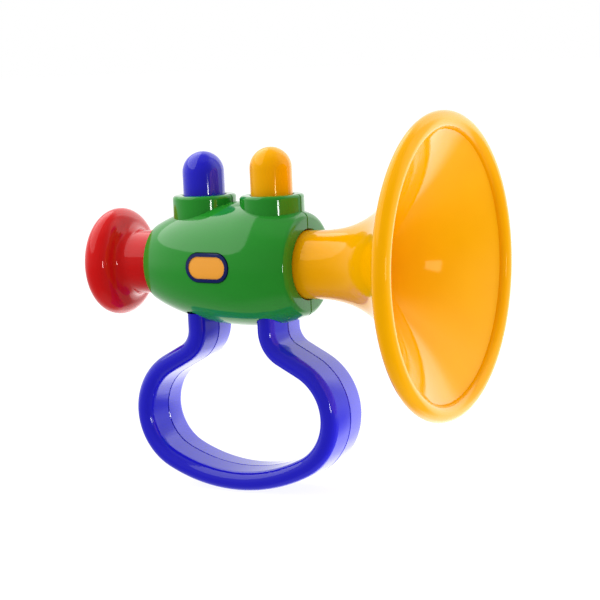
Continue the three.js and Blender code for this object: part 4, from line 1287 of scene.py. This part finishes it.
def light_studio(scene):
    """White walls behind and beside the toy, and a dark room on the camera's side.

    Only the gloss sees them. The dull skins get the fill cards, and the camera sees plain white.
    """
    scene.world = bpy.data.worlds.new("studio")
    scene.world.cycles.sampling_method = "NONE"
    tree = empty_tree(scene.world)
    forward, right = direction(CAMERA_AZIMUTH), direction(CAMERA_AZIMUTH + RIGHT_ANGLE)
    place = add_node(tree, "ShaderNodeTexCoord").outputs["Generated"]
    parts = [add_node(tree, "ShaderNodeVectorMath", {0: place}, {1: axis}, operation="DOT_PRODUCT")
             for axis in (right, forward, UP)]
    aside, ahead, above = [part.outputs["Value"] for part in parts]
    turn = add_node(tree, "ShaderNodeMath", {0: aside, 1: ahead}, operation="ARCTAN2")
    turn = add_node(tree, "ShaderNodeMapRange", {"Value": turn}, {"From Min": -math.pi, "From Max": math.pi})
    rise = add_node(tree, "ShaderNodeMapRange", {"Value": above}, WALL_BLEND, interpolation_type="SMOOTHSTEP")
    steep = add_node(tree, "ShaderNodeMath", {0: above}, operation="ABSOLUTE")
    steep = add_node(tree, "ShaderNodeMapRange", {"Value": steep}, CEILING_BLEND,
                     interpolation_type="SMOOTHSTEP")
    room = add_node(tree, "ShaderNodeMix", {SHARE: steep, FIRST: add_walls(tree, turn, rise)},
                    {SECOND: grey(CEILING / RADIANCE_SCALE)}, data_type="RGBA")
    room = add_node(tree, "ShaderNodeBackground", {"Color": room.outputs[MIXED]},
                    {"Strength": RADIANCE_SCALE})
    soft = add_node(tree, "ShaderNodeBackground", {"Strength": add_fill(tree, place, forward, right)},
                    {"Color": grey(1)})
    plain = add_node(tree, "ShaderNodeBackground", None, {"Color": grey(1), "Strength": 1})
    rays = add_node(tree, "ShaderNodeLightPath").outputs
    mix = add_node(tree, "ShaderNodeMixShader", {0: rays["Is Diffuse Ray"], 1: room, 2: soft})
    mix = add_node(tree, "ShaderNodeMixShader", {0: rays["Is Camera Ray"], 1: mix, 2: plain})
    add_node(tree, "ShaderNodeOutputWorld", {"Surface": mix})


def hang_lights():
    """A long oval softbox overhead, on the left, and the lamps."""
    forward, right = direction(CAMERA_AZIMUTH), direction(CAMERA_AZIMUTH + RIGHT_ANGLE)
    along = (forward * SOFTBOX_WAY[0] + right * SOFTBOX_WAY[1]).normalized()
    inward = UP.cross(along)
    edge = (forward * SOFTBOX_EDGE[0] + right * SOFTBOX_EDGE[1] + UP) * SOFTBOX_HEIGHT
    length, width = SOFTBOX_LENGTH * SOFTBOX_HEIGHT, SOFTBOX_WIDTH * SOFTBOX_HEIGHT
    place = Vector((MIDDLE_X, 0, AXIS_Z)) + edge + inward * width / 2
    across = inward.cross(UP)
    add_panel("softbox", (across, UP.cross(across), UP), place, length, width, SOFTBOX_RADIANCE, "ELLIPSE")
    for lamp in LAMPS:
        hang_lamp(*lamp)


class TRUMPET_OT_stage(bpy.types.Operator):
    """Set up the pale floor, the soft studio light and the camera"""

    bl_idname = "trumpet.stage"
    bl_label = "Stage"

    def execute(self, context):
        lay_floor()
        place_camera()
        light_studio(context.scene)
        hang_lights()
        context.scene.view_settings.view_transform = "Standard"
        return {"FINISHED"}


GROUPS = {"trumpet_body": TrumpetBodySizes, "trumpet_buttons": TrumpetButtonSizes,
          "trumpet_bell": TrumpetBellSizes, "trumpet_mouthpiece": TrumpetMouthpieceSizes,
          "trumpet_clicks": TrumpetClickSizes, "trumpet_handle": TrumpetHandleSizes,
          "trumpet_screws": TrumpetScrewSizes, "trumpet_badge": TrumpetBadgeSizes,
          "trumpet_colours": TrumpetColours}
OPERATORS = (TRUMPET_OT_body, TRUMPET_OT_badge, TRUMPET_OT_bell, TRUMPET_OT_mouthpiece, TRUMPET_OT_buttons,
             TRUMPET_OT_squeakers, TRUMPET_OT_clicks, TRUMPET_OT_handle, TRUMPET_OT_screws, TRUMPET_OT_stage)


class TRUMPET_PT_sidebar(bpy.types.Panel):
    """The toy's pieces, sizes and colours"""

    bl_idname = "TRUMPET_PT_sidebar"
    bl_label = "Toy Trumpet"
    bl_space_type = "VIEW_3D"
    bl_region_type = "UI"
    bl_category = "Trumpet"

    def draw(self, context):
        layout = self.layout
        for operator in OPERATORS:
            layout.operator(operator.bl_idname)
        for name, group in GROUPS.items():
            box = layout.box()
            box.label(text=name.replace("trumpet_", "").capitalize())
            for item in group.__annotations__:
                box.prop(getattr(context.scene, name), item)


CLASSES = (*GROUPS.values(), *OPERATORS, TRUMPET_PT_sidebar)


def register():
    """Registers the classes and adds their groups to the scene."""
    for item in CLASSES:
        bpy.utils.register_class(item)
    for name, group in GROUPS.items():
        setattr(bpy.types.Scene, name, PointerProperty(type=group))


def unregister():
    """Takes the groups and classes away again."""
    for name in GROUPS:
        delattr(bpy.types.Scene, name)
    for item in reversed(CLASSES):
        bpy.utils.unregister_class(item)


def main():
    register()
    bpy.ops.trumpet.body()
    bpy.ops.trumpet.badge()
    bpy.ops.trumpet.bell()
    bpy.ops.trumpet.mouthpiece()
    bpy.ops.trumpet.buttons()
    bpy.ops.trumpet.squeakers()
    bpy.ops.trumpet.clicks()
    bpy.ops.trumpet.handle()
    bpy.ops.trumpet.screws()
    bpy.ops.trumpet.stage()


if __name__ == "__main__":
    main()
